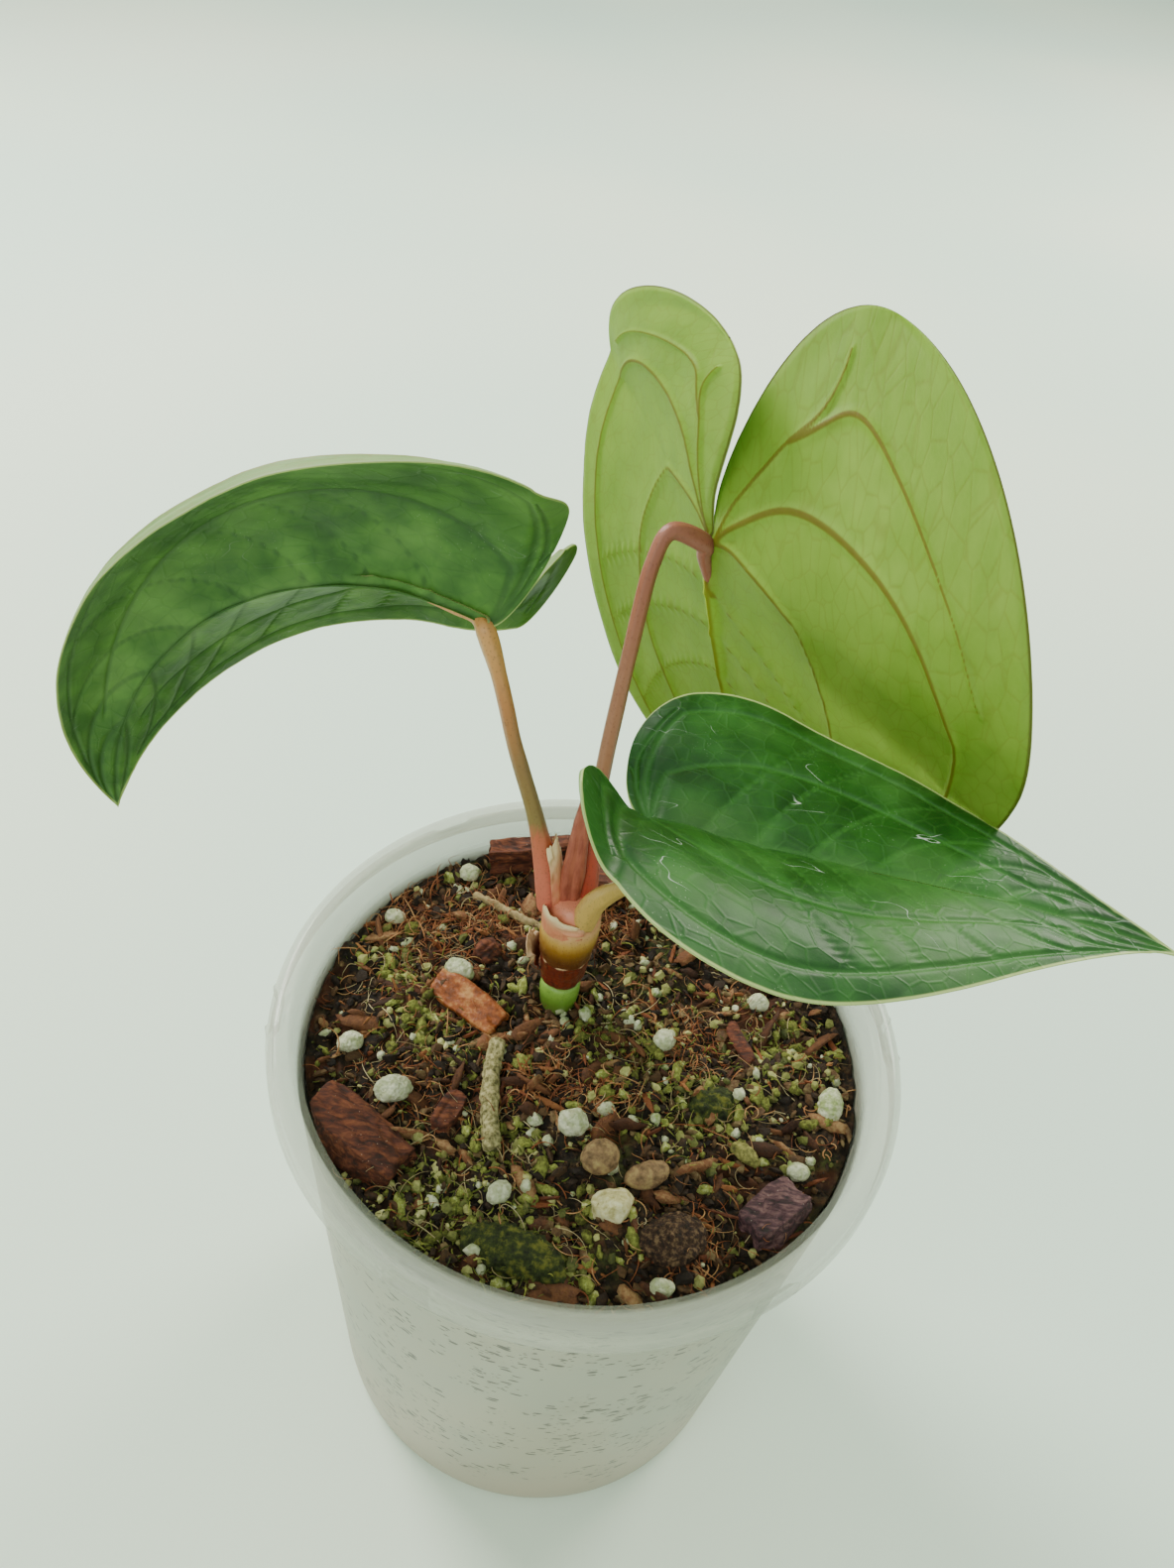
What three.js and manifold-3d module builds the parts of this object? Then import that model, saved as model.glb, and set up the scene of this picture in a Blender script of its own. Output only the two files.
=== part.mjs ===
// Potted anthurium: three heart-shaped leaves on arching petioles that grow from one short stem,
// rooted in a clear round grow tub filled with a mossy bark, coir and perlite mix.
// Millimetres, +Z up. The origin is the centre of the tub's flat underside.
import * as THREE from 'three';
import { mergeVertices } from 'three/addons/utils/BufferGeometryUtils.js';
import Module from 'manifold-3d';

const wasm = await Module();
wasm.setup();

// ---- Driving dimensions -------------------------------------------------------------------

const gap = 0.3;              // air left between pieces that touch

// Tub
const tubHeight = 119;
const rimRadius = 59;         // outside of the lip
const mouthRadius = 54.8;     // inner edge of the rounded rim
const neckRadius = 54;        // outside of the wall just under the rim
const baseRadius = 46.9;      // outside of the wall at the base
const wall = 1.1;
const floorThickness = 1.4;
const baseFillet = 2;
const lipHeight = 7;          // top of the rim down to the lip's lower edge
const lipThickness = 1.1;
const rimCrown = 2.6;         // radius of the rim's rounded shoulder
const catchCount = 6;
const catchTurn = 7;          // degrees from +X to the first catch pocket
const catchLength = 7.6;
const catchTop = 1.9;         // below the rim's top
const catchHeight = 3.5;
const catchDepth = 1.9;
const drainCount = 6;
const drainRadius = 2.5;
const drainCircle = 30;
const tubSides = 64;

// Growing mix
const fillDepth = 9.5;        // rim's top down to the mix at the wall
const moundHeight = 1.6;
const lumpHeight = 1.1;

// Plant
const stemX = -6.5;
const stemY = 9.5;
const stemRadius = 3.6;
const nodeRise = 6;           // green node above the mix
const stemDepth = 24;         // buried part
const ringHeight = 8.5;       // red-brown papery ring above the node
const ringRadius = 4.3;
const crownHeight = 13;       // fleshy sheath out of which the petioles part
const crownRadius = 5;
const petioleRadius = 1.35;
const bractRoom = 2.5;        // middle of the pointed bract to the middle of the nearest petiole
const bractLength = 29;
const rootRadius = 1.5;
const leafThickness = 0.7;
const plantedRimRadius = 59;  // the rim that the stalks are drawn for; over a wider rim they stand taller

// ---- Helpers ------------------------------------------------------------------------------

const degrees = Math.PI / 180;

function mix(a, b, t) {
  return a + (b - a) * t;
}

function smooth(t) {
  const s = Math.min(Math.max(t, 0), 1);
  return s * s * (3 - 2 * s);
}

// A repeatable number in [0, 1) from a seed.
function chance(seed) {
  const s = Math.sin(seed * 127.1 + 311.7) * 43758.5453;
  return s - Math.floor(s);
}

function solidOf(geometry) {
  const bare = geometry.index ? geometry.toNonIndexed() : geometry.clone();
  bare.deleteAttribute('normal');
  bare.deleteAttribute('uv');
  const merged = mergeVertices(bare, 1e-4);
  return new wasm.Manifold(new wasm.Mesh({
    numProp: 3,
    vertProperties: new Float32Array(merged.attributes.position.array),
    triVerts: new Uint32Array(merged.index.array),
  }));
}

function geometryOf(solid) {
  const mesh = solid.getMesh();
  const geometry = new THREE.BufferGeometry();
  geometry.setAttribute('position', new THREE.BufferAttribute(mesh.vertProperties, 3));
  geometry.setIndex(new THREE.BufferAttribute(mesh.triVerts, 1));
  return geometry;
}

function placed(geometry, x, y, z, turn = 0) {
  return geometry.clone().rotateZ(turn).translate(x, y, z);
}

function closedGeometry(points, faces) {
  const geometry = new THREE.BufferGeometry();
  geometry.setAttribute('position', new THREE.Float32BufferAttribute(points.flat(), 3));
  geometry.setIndex(faces.flat());
  return geometry;
}

// ---- Tub ----------------------------------------------------------------------------------

const wallSlope = (neckRadius - baseRadius) / (tubHeight - lipHeight);

function wallRadius(z) {
  return baseRadius + wallSlope * z;
}

function arc(cx, cy, radius, from, to, steps) {
  return Array.from({ length: steps + 1 }, (_, i) => {
    const a = mix(from, to, i / steps) * degrees;
    return new THREE.Vector2(cx + radius * Math.cos(a), cy + radius * Math.sin(a));
  });
}

function lathe(profile) {
  return new THREE.LatheGeometry(profile, tubSides).rotateX(Math.PI / 2);
}

const lipBottom = tubHeight - lipHeight;
const shoulderInside = rimRadius - lipThickness;

function makeTub() {
  const point = (r, z) => new THREE.Vector2(r, z);
  const profile = [
    point(0, 0),
    ...arc(baseRadius - baseFillet, baseFillet, baseFillet, -90, 0, 3),
    point(wallRadius(lipBottom), lipBottom),
    point(wallRadius(lipBottom) + 0.4, tubHeight - rimCrown),
    point(shoulderInside, tubHeight - rimCrown),
    point(shoulderInside, lipBottom),
    point(rimRadius, lipBottom),
    ...arc(rimRadius - rimCrown, tubHeight - rimCrown, rimCrown, 0, 90, 4),
    point(mouthRadius, tubHeight - 0.2),
    point(wallRadius(tubHeight - rimCrown) - wall, tubHeight - rimCrown),
    point(baseRadius - wall, floorThickness + baseFillet),
    point(baseRadius - wall - baseFillet, floorThickness),
    point(0, floorThickness),
  ];
  let tub = solidOf(lathe(profile));

  const rimOutside = solidOf(lathe([
    point(neckRadius - 0.5, lipBottom),
    point(rimRadius, lipBottom),
    ...arc(rimRadius - rimCrown, tubHeight - rimCrown, rimCrown, 0, 90, 4),
    point(neckRadius - 0.5, tubHeight),
    point(neckRadius - 0.5, lipBottom),
  ]));
  const skin = 1;
  const block = (extra) => {
    const [depth, length, height] = [2 * catchDepth, catchLength, catchHeight].map((size) => size + extra);
    return new THREE.BoxGeometry(depth, length, height);
  };
  const pocket = block(0);
  const liner = block(2 * skin);
  const catchZ = tubHeight - catchTop - catchHeight / 2;
  for (let i = 0; i < catchCount; i++) {
    const turn = (catchTurn + i * 360 / catchCount) * degrees;
    const x = rimRadius * Math.cos(turn);
    const y = rimRadius * Math.sin(turn);
    tub = tub.add(solidOf(placed(liner.clone().rotateZ(turn), x, y, catchZ)).intersect(rimOutside));
    tub = tub.subtract(solidOf(placed(pocket.clone().rotateZ(turn), x, y, catchZ)));
  }
  const drain = new THREE.CylinderGeometry(drainRadius, drainRadius, 3 * floorThickness, 12);
  drain.rotateX(Math.PI / 2);
  for (let i = 0; i < drainCount; i++) {
    const a = (i + 0.5) * 2 * Math.PI / drainCount;
    const x = drainCircle * Math.cos(a);
    const y = drainCircle * Math.sin(a);
    tub = tub.subtract(solidOf(placed(drain, x, y, floorThickness / 2)));
  }
  return geometryOf(tub);
}

// ---- Growing mix --------------------------------------------------------------------------

const mixLevel = tubHeight - fillDepth;
const mixRadius = (z) => wallRadius(z) - wall - gap;

// Height of the mix's top at a place, mounded in the middle and lumpy all over.
function mixTop(x, y) {
  const fromMiddle = Math.hypot(x, y) / mixRadius(mixLevel);
  const lumps = Math.sin(x * 0.31 + 1.3) * Math.cos(y * 0.27 - 0.4)
    + 0.6 * Math.sin(x * 0.14 - y * 0.43 + 2.1)
    + 0.4 * Math.sin(x * 0.62 + y * 0.55);
  return mixLevel + moundHeight * (1 - fromMiddle * fromMiddle) + lumpHeight * 0.5 * lumps;
}

function makeMix() {
  const rings = 9;
  const sides = 40;
  const bottomZ = floorThickness + gap;
  const points = [];
  const faces = [];
  const ringStart = (k) => 1 + (k - 1) * sides;
  points.push([0, 0, mixTop(0, 0)]);
  for (let k = 1; k <= rings; k++) {
    for (let j = 0; j < sides; j++) {
      const a = j * 2 * Math.PI / sides;
      const edge = mixRadius(mixLevel - lumpHeight - 1) * Math.cos(Math.PI / tubSides) - 0.1;
      const r = edge * k / rings;
      const x = r * Math.cos(a);
      const y = r * Math.sin(a);
      points.push([x, y, mixTop(x, y)]);
    }
  }
  const flats = Math.cos(Math.PI / tubSides);
  const filletTop = floorThickness + baseFillet;
  const lowerRings = [
    [mixRadius(filletTop) * flats - 0.1, filletTop + gap],
    [mixRadius(floorThickness) - baseFillet - 0.2, bottomZ],
  ];
  for (const [r, z] of lowerRings) {
    for (let j = 0; j < sides; j++) {
      const a = j * 2 * Math.PI / sides;
      points.push([r * Math.cos(a), r * Math.sin(a), z]);
    }
  }
  const last = points.length;
  points.push([0, 0, bottomZ]);
  for (let j = 0; j < sides; j++) {
    const next = (j + 1) % sides;
    faces.push([0, ringStart(1) + j, ringStart(1) + next]);
    for (let k = 1; k < rings + lowerRings.length; k++) {
      const a = ringStart(k) + j;
      const b = ringStart(k) + next;
      const c = ringStart(k + 1) + next;
      const d = ringStart(k + 1) + j;
      faces.push([a, d, c], [a, c, b]);
    }
    faces.push([ringStart(rings + lowerRings.length) + next, ringStart(rings + lowerRings.length) + j, last]);
  }
  return closedGeometry(points, faces);
}

// ---- Loose pieces in the mix --------------------------------------------------------------

// A rounded or angular lump with half sizes a, b, c. grow widens it all round for the bed it lies in.
function lump({ half, turn = 0, tilt = 0, rough = 0.12, seed = 1, detail = 1 }, grow = 0) {
  const geometry = new THREE.IcosahedronGeometry(1, detail);
  const position = geometry.attributes.position;
  const v = new THREE.Vector3();
  for (let i = 0; i < position.count; i++) {
    v.fromBufferAttribute(position, i);
    const key = Math.round(v.x * 50) * 3 + Math.round(v.y * 50) * 7 + Math.round(v.z * 50) * 13;
    const swell = 1 + rough * (2 * chance(key + seed) - 1);
    v.set(v.x * half[0] * swell, v.y * half[1] * swell, v.z * half[2] * swell);
    v.addScaledVector(v.clone().normalize(), grow);
    position.setXYZ(i, v.x, v.y, v.z);
  }
  return geometry.rotateX(tilt * degrees).rotateZ(turn * degrees);
}

// A split bark slab: a box with wandering corners.
function slab({ half, turn = 0, tilt = 0, rough = 0.12, seed = 1 }, grow = 0) {
  const [a, b, c] = half;
  const geometry = new THREE.BoxGeometry(2 * a, 2 * b, 2 * c, 3, 2, 1);
  const position = geometry.attributes.position;
  const v = new THREE.Vector3();
  for (let i = 0; i < position.count; i++) {
    v.fromBufferAttribute(position, i);
    const key = Math.round(v.x * 9) * 3 + Math.round(v.y * 9) * 7 + Math.round(v.z * 9) * 13;
    const taper = 1 - 0.25 * Math.abs(v.x / a);
    v.x *= 1 + rough * (2 * chance(key + seed) - 1);
    v.y *= taper * (1 + rough * (2 * chance(key + seed + 5) - 1));
    v.z *= 1 + rough * (2 * chance(key + seed + 9) - 1);
    v.x *= (a + grow) / a;
    v.y *= (b + grow) / b;
    v.z *= (c + grow) / c;
    position.setXYZ(i, v.x, v.y, v.z);
  }
  return geometry.rotateX(tilt * degrees).rotateZ(turn * degrees);
}

// name, maker, centre [x, y], part of its height that stands above the mix, and its shape
const loosePieces = [
  ['bark_slab_left', slab, [-37.5, -27], 0.55, { half: [10.5, 5.2, 3.2], turn: -32, tilt: -12, seed: 3 }],
  ['bark_slab_back', slab, [-17, 44], 0.8, { half: [9, 2.4, 4], turn: 20, seed: 8 }],
  ['bark_slab_behind_stem', slab, [-3, 40], 0.7, { half: [7, 3.4, 3.4], turn: -8, tilt: -8, seed: 19 }],
  ['bark_chip_small', slab, [-22.5, -20], 0.7, { half: [3.6, 2.2, 1.6], turn: 70, seed: 11 }],
  ['bark_chip_right', slab, [30, 4.5], 0.75, { half: [4.5, 1.6, 1.4], turn: -60, tilt: 10, seed: 14 }],
  ['bark_chip_purple', slab, [36, -30], 0.6, { half: [6, 4, 3.4], turn: 45, tilt: -10, seed: 17 }],
  ['nut_bark_chip', lump, [-22, 17.5], 0.8, { half: [3.4, 2.2, 2], turn: 55, seed: 21 }],
  ['coir_chunk', lump, [19, -37.5], 0.65, { half: [6, 4.6, 4], turn: 20, rough: 0.1, seed: 23 }],
  ['cream_stone', lump, [8, -33.5], 0.8, { half: [3.8, 3.3, 3.2], turn: 30, rough: 0.16, seed: 29 }],
  ['clay_pellet_round', lump, [5, -25], 0.8, { half: [3.6, 3.4, 3], turn: 10, rough: 0.04, seed: 31 }],
  ['clay_pellet_long', lump, [13.5, -26.5], 0.8, { half: [4.4, 2.5, 2.4], turn: 28, rough: 0.05, seed: 37 }],
  ['olive_bark_bit', lump, [31, -19], 0.8, { half: [3.4, 1.6, 1.5], turn: -35, rough: 0.1, seed: 41 }],
  ['moss_clump_front', lump, [-7, -43], 0.4, { half: [11, 4.8, 4.4], turn: -12, rough: 0.08, seed: 43 }],
  ['moss_clump_right', lump, [25, -9], 0.35, { half: [5.5, 4.6, 4], turn: 15, rough: 0.08, seed: 47 }],
  ['perlite_white', lump, [-0.5, -19], 0.8, { half: [3, 2.7, 2.7], rough: 0.07, seed: 51 }],
  ['perlite_oval', lump, [47, -6], 0.8, { half: [2.5, 3.8, 2.5], turn: -8, rough: 0.06, seed: 53 }],
  ['perlite_cluster', lump, [-33.5, -17], 0.8, { half: [3.6, 2.8, 2.5], turn: 15, rough: 0.1, seed: 57 }],
  ['perlite_grey', lump, [-26.5, 11], 0.8, { half: [3.2, 2.5, 2.3], turn: -20, rough: 0.08, seed: 59 }],
  ['perlite_left', lump, [-43.5, -8], 0.8, { half: [2.8, 2, 1.9], turn: 30, rough: 0.1, seed: 61 }],
  ['perlite_back_left', lump, [-29, 37], 0.8, { half: [2.2, 2, 2], rough: 0.1, seed: 67 }],
  ['perlite_green_left', lump, [-42, 23], 0.8, { half: [2.2, 1.8, 1.8], rough: 0.1, seed: 71 }],
  ['perlite_green_front', lump, [-11.5, -34], 0.8, { half: [2.4, 2, 2], turn: 40, rough: 0.1, seed: 73 }],
  ['perlite_front', lump, [17.5, -45.5], 0.8, { half: [2.3, 1.8, 1.8], rough: 0.08, seed: 79 }],
  ['perlite_right', lump, [40.5, -21], 0.8, { half: [2.2, 1.8, 1.7], rough: 0.1, seed: 83 }],
  ['perlite_back_right', lump, [33, 14.5], 0.8, { half: [2.4, 2, 1.9], rough: 0.1, seed: 89 }],
  ['perlite_middle', lump, [15, 2.5], 0.8, { half: [2.6, 2.2, 2], turn: 60, rough: 0.1, seed: 97 }],
  ['dead_leaf', slab, [-23.5, 4], 0.95, { half: [8, 3.2, 1.1], turn: -32, tilt: 18, rough: 0.1, seed: 101 }],
];

// Stretches that lie along the top of the mix, each a list of [x, y] places.
const layingPieces = [
  ['dry_stalk', 1.7, [[-16.5, -4], [-16.5, -12], [-15.5, -19], [-14, -26]]],
  ['dry_root', 0.9, [[-27, 32], [-22, 30.5], [-16, 27], [-11, 25.5]]],
];

// ---- Tubes and stalks ---------------------------------------------------------------------

function roundSection(radius, sides) {
  const shape = new THREE.Shape();
  for (let i = 0; i < sides; i++) {
    const a = i * 2 * Math.PI / sides;
    if (i === 0) shape.moveTo(radius, 0);
    else shape.lineTo(radius * Math.cos(a), radius * Math.sin(a));
  }
  shape.closePath();
  return shape;
}

function tube(points, radius, steps, sides = 8) {
  const path = new THREE.CatmullRomCurve3(points.map((p) => new THREE.Vector3(...p)));
  const options = { steps, extrudePath: path, bevelEnabled: false };
  return new THREE.ExtrudeGeometry(roundSection(radius, sides), options);
}

function turned(profile, sides = 20) {
  const outline = profile.map(([r, z]) => new THREE.Vector2(r, z));
  return new THREE.LatheGeometry(outline, sides).rotateX(Math.PI / 2);
}

// ---- Stem, ring and roots -----------------------------------------------------------------

const stemGround = mixTop(stemX, stemY);
const nodeTop = stemGround + nodeRise;
const ringTop = nodeTop + ringHeight;
const crownTop = ringTop + gap + crownHeight;
const petioleStart = crownTop + gap;

// A place in the plant whose third number is its rise above the crown.
function aboveCrown([x, y, rise]) {
  return [x, y, petioleStart + rise * rimRadius / plantedRimRadius];
}

function makeStem(grow = 0) {
  const bottom = stemGround - stemDepth;
  const r = stemRadius;
  const profile = [
    [0, bottom - grow],
    [r * 0.5 + grow, bottom - grow],
    [r * 0.85 + grow, bottom + 4],
    [r * 0.95 + grow, stemGround - 3],
    [r * 1.1 + grow, stemGround + 2.5],
    [r * 0.98 + grow, nodeTop - 0.8],
    [r * 0.8 + grow, nodeTop + grow],
    [0, nodeTop + grow],
  ];
  return turned(profile).translate(stemX, stemY, 0);
}

// The papery ring is cut at the top by the three petiole bases that grow through it.
function makeRing() {
  const profile = [
    [0, nodeTop + gap],
    [ringRadius * 0.86, nodeTop + gap],
    [ringRadius * 1.04, nodeTop + ringHeight * 0.35],
    [ringRadius * 1.08, nodeTop + ringHeight * 0.7],
    [ringRadius * 1.0, ringTop],
    [0, ringTop],
  ];
  return turned(profile).translate(stemX, stemY, 0);
}

const rootDirections = [
  ['root_front', -80, 30],
  ['root_left', 170, 26],
  ['root_back', 95, 24],
  ['root_right', 10, 34],
];

// A root's course starts inside the stem; burying it trims it back to the stem's surface.
function rootPoints(direction, reach) {
  const a = direction * degrees;
  const start = stemGround - 8;
  return [0, 1, 2, 3].map((i) => {
    const out = stemRadius * 0.2 + reach * i / 3;
    return [
      stemX + out * Math.cos(a + 0.12 * i),
      stemY + out * Math.sin(a + 0.12 * i),
      start - 3 * i - 5 * i * i,
    ];
  });
}

// ---- Petioles -----------------------------------------------------------------------------

// Each petiole swells into a sheath where it leaves the ring. The path runs from the ring's top
// to just under the leaf's base.
function makePetiole(path, sheath) {
  const stalk = tube(path, petioleRadius, 16, 10);
  const position = stalk.attributes.position;
  const curve = new THREE.CatmullRomCurve3(path.map((p) => new THREE.Vector3(...p)));
  const samples = curve.getSpacedPoints(60);
  const v = new THREE.Vector3();
  for (let i = 0; i < position.count; i++) {
    v.fromBufferAttribute(position, i);
    let nearest = 0;
    for (let k = 1; k < samples.length; k++) {
      if (samples[k].distanceToSquared(v) < samples[nearest].distanceToSquared(v)) nearest = k;
    }
    const along = nearest / (samples.length - 1);
    const base = 1 + sheath.swell * smooth(1 - along / sheath.length);
    const knee = 1 + 0.22 * smooth((along - 0.9) / 0.08);
    const out = v.clone().sub(samples[nearest]);
    v.copy(samples[nearest]).addScaledVector(out, base * knee);
    position.setXYZ(i, v.x, v.y, v.z);
  }
  return stalk;
}

// ---- Leaves -------------------------------------------------------------------------------

// A heart-shaped blade. Its outline is measured along the midrib from the sinus, where the petiole
// joins: length runs to the tip, lobe runs back to the end of the two basal lobes.
function halfOutline(leaf, side) {
  const { length, lobe, taper } = leaf;
  const width = side < 0 ? leaf.leftWidth : leaf.rightWidth;
  const lobeCentre = width * leaf.lobeCentre[side < 0 ? 0 : 1];
  let swell = width;
  const breadth = (t) => lobeCentre * t ** 1.6 + swell * t ** taper * Math.sqrt(Math.max(1 - t, 0));
  const shares = Array.from({ length: 61 }, (_, k) => k / 60);
  for (let i = 0; i < 12; i++) swell *= 1 + (width - Math.max(...shares.map(breadth))) / width;
  return {
    outer(v) {
      return breadth(Math.min(Math.max((length - v) / (length + lobe), 0), 1));
    },
    inner(v) {
      const b = Math.min(Math.max(-v / lobe, 0), 1);
      return lobeCentre * (1 - Math.sqrt(1 - b * b));
    },
  };
}

// The midrib's course: heading and pitch change along it, and the blade rolls about it.
function midribFrames(leaf) {
  const steps = 160;
  const step = 1 / steps;
  const frameAt = (s) => {
    const heading = (leaf.heading[0] + leaf.heading[1] * s + leaf.heading[2] * s * s) * degrees;
    const pitch = (leaf.pitch[0] + leaf.pitch[1] * s + leaf.pitch[2] * s * s) * degrees;
    const roll = (leaf.roll[0] + leaf.roll[1] * s) * degrees;
    const along = new THREE.Vector3(
      Math.cos(pitch) * Math.cos(heading), Math.cos(pitch) * Math.sin(heading), Math.sin(pitch));
    const above = new THREE.Vector3(
      -Math.sin(pitch) * Math.cos(heading), -Math.sin(pitch) * Math.sin(heading), Math.cos(pitch));
    const flat = new THREE.Vector3().crossVectors(along, above);
    const across = flat.clone().multiplyScalar(Math.cos(roll)).addScaledVector(above, Math.sin(roll));
    const normal = new THREE.Vector3().crossVectors(across, along);
    return { along, across, normal };
  };
  const frames = [{ place: new THREE.Vector3(...aboveCrown(leaf.base)), ...frameAt(0) }];
  for (let i = 1; i <= steps; i++) {
    const middle = frameAt((i - 0.5) * step);
    const place = frames[i - 1].place.clone().addScaledVector(middle.along, step * leaf.length);
    frames.push({ place, ...frameAt(i * step) });
  }
  // Behind the sinus the frame keeps its directions and runs straight back.
  return (v) => {
    const s = Math.max(v / leaf.length, 0);
    const i = Math.min(Math.floor(s / step), steps - 1);
    const t = s / step - i;
    const a = frames[i];
    const b = frames[i + 1];
    return {
      s,
      place: a.place.clone().lerp(b.place, t).addScaledVector(a.along, Math.min(v, 0)),
      across: a.across.clone().lerp(b.across, t),
      normal: a.normal.clone().lerp(b.normal, t),
    };
  };
}

// A point of the blade v along and x out from the midrib: the half folds at the midrib and curls,
// and its basal lobe lifts and spreads more and more towards its end.
function bladePoint(leaf, frameOf, side, v, x) {
  const frame = frameOf(v);
  const index = side < 0 ? 0 : 1;
  const intoLobe = Math.min(Math.max(-v / leaf.lobe, 0), 1) ** 2;
  const fold = side < 0 ? leaf.leftFold : leaf.rightFold;
  const curl = side < 0 ? leaf.leftCurl : leaf.rightCurl;
  const angle = (fold[0] + fold[1] * frame.s) * degrees;
  const bend = (curl[0] + curl[1] * frame.s) * degrees / 50 || 1e-5;
  const spread = leaf.lobeSpread[index] * intoLobe;
  const lift = leaf.lobeLift[index] * intoLobe;
  const out = (Math.sin(angle + bend * x) - Math.sin(angle)) / bend + spread;
  const rise = (Math.cos(angle) - Math.cos(angle + bend * x)) / bend + lift;
  return frame.place.clone().addScaledVector(frame.across, side * out).addScaledVector(frame.normal, rise);
}

function makeLeaf(leaf) {
  const rows = 16;
  const lobeRows = 6;
  const columns = 6;
  const frameOf = midribFrames(leaf);
  const points = [];
  const faces = [];
  const put = (p) => points.push(p) - 1;
  const halves = { '-1': halfOutline(leaf, -1), 1: halfOutline(leaf, 1) };
  // Shares from 0 to 1 that crowd together towards 1, so that margins and tips are finely stepped.
  const crowded = (share) => Math.sin(share * Math.PI / 2);
  const rowOf = (side, v) => Array.from({ length: columns + 1 }, (_, j) => {
    const half = halves[side];
    const start = v < 0 ? half.inner(v) : 0;
    return put(bladePoint(leaf, frameOf, side, v, mix(start, half.outer(v), crowded(j / columns))));
  });
  const bladeV = Array.from({ length: rows }, (_, i) => leaf.length * crowded(i / rows));
  const tip = put(bladePoint(leaf, frameOf, 1, leaf.length, 0));
  const middle = bladeV.map((v) => put(bladePoint(leaf, frameOf, 1, v, 0)));
  for (const side of [-1, 1]) {
    const turn = (a, b, c) => faces.push(side > 0 ? [a, b, c] : [a, c, b]);
    const blade = bladeV.map((v, i) => {
      const row = rowOf(side, v);
      row[0] = middle[i];
      return row;
    });
    const lobeV = Array.from({ length: lobeRows }, (_, i) => -leaf.lobe * crowded((i + 1) / lobeRows));
    const lobes = lobeV.map((v, i) => (i === lobeRows - 1
      ? Array(columns + 1).fill(put(bladePoint(leaf, frameOf, side, v, halves[side].inner(v))))
      : rowOf(side, v)));
    const strips = [...lobes.reverse(), ...blade, Array(columns + 1).fill(tip)];
    for (let i = 0; i + 1 < strips.length; i++) {
      for (let j = 0; j < columns; j++) {
        const [a, b, c, d] = [strips[i][j], strips[i][j + 1], strips[i + 1][j + 1], strips[i + 1][j]];
        if (a !== b) turn(a, b, c);
        if (c !== d) turn(a, c, d);
      }
    }
  }
  return thicken(points, faces, leafThickness);
}

// Gives an open sheet a thickness downwards, with a wall along its edge.
function thicken(points, faces, thickness) {
  const normals = points.map(() => new THREE.Vector3());
  for (const [a, b, c] of faces) {
    const n = points[b].clone().sub(points[a]).cross(points[c].clone().sub(points[a]));
    for (const i of [a, b, c]) normals[i].add(n);
  }
  const count = points.length;
  const all = points.map((p) => p.toArray());
  points.forEach((p, i) => all.push(p.clone().addScaledVector(normals[i].normalize(), -thickness).toArray()));
  const closed = [...faces, ...faces.map(([a, b, c]) => [a + count, c + count, b + count])];
  const edges = new Set(faces.flatMap(([a, b, c]) => [`${a},${b}`, `${b},${c}`, `${c},${a}`]));
  for (const edge of edges) {
    const [a, b] = edge.split(',').map(Number);
    if (!edges.has(`${b},${a}`)) closed.push([b, a, a + count], [b, a + count, b + count]);
  }
  return closedGeometry(all, closed);
}

const leaves = {
  leaf_left: {
    base: [-25.7, 10, 57.4], length: 93, lobe: 5, leftWidth: 36, rightWidth: 35,
    lobeCentre: [0.7, 0.5], taper: 1.1,
    heading: [166, 23, 37], pitch: [13, -100, -3], roll: [79, 11],
    leftFold: [-111, 108], rightFold: [-10, 2], leftCurl: [138, -204], rightCurl: [100, 177],
    lobeLift: [-1, -1.5], lobeSpread: [-12, 4.5],
  },
  leaf_back: {
    base: [5.9, 26.6, 68], length: 103, lobe: 29, leftWidth: 52, rightWidth: 62,
    lobeCentre: [0.48, 0.48], taper: 1.12,
    heading: [46, -6, 0], pitch: [-72, 15, -1], roll: [-8, 9],
    leftFold: [15, -56], rightFold: [-2, 0],
    leftCurl: [0, 0], rightCurl: [10, -1],
    lobeLift: [2, 28], lobeSpread: [-19, -24],
  },
  leaf_front: {
    base: [1.8, -24.5, 56.1], length: 68, lobe: 6, leftWidth: 30, rightWidth: 34,
    lobeCentre: [0.5, 0.5], taper: 1.25,
    heading: [-8, 21, -31], pitch: [2, -6, 5], roll: [23, -7],
    leftFold: [27, -11], rightFold: [35, -45],
    leftCurl: [-9, -29], rightCurl: [-83, -31],
    lobeLift: [-1, 9], lobeSpread: [1, 10],
  },
};

// ---- Crown: where the petioles part --------------------------------------------------------

function makeCrown() {
  const bottom = ringTop + gap;
  return turned([
    [0, bottom],
    [crownRadius * 0.86, bottom],
    [crownRadius * 1.06, bottom + crownHeight * 0.4],
    [crownRadius * 1.02, bottom + crownHeight * 0.75],
    [crownRadius * 0.88, crownTop],
    [0, crownTop],
  ]).translate(stemX + 0.6, stemY, 0);
}

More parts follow.
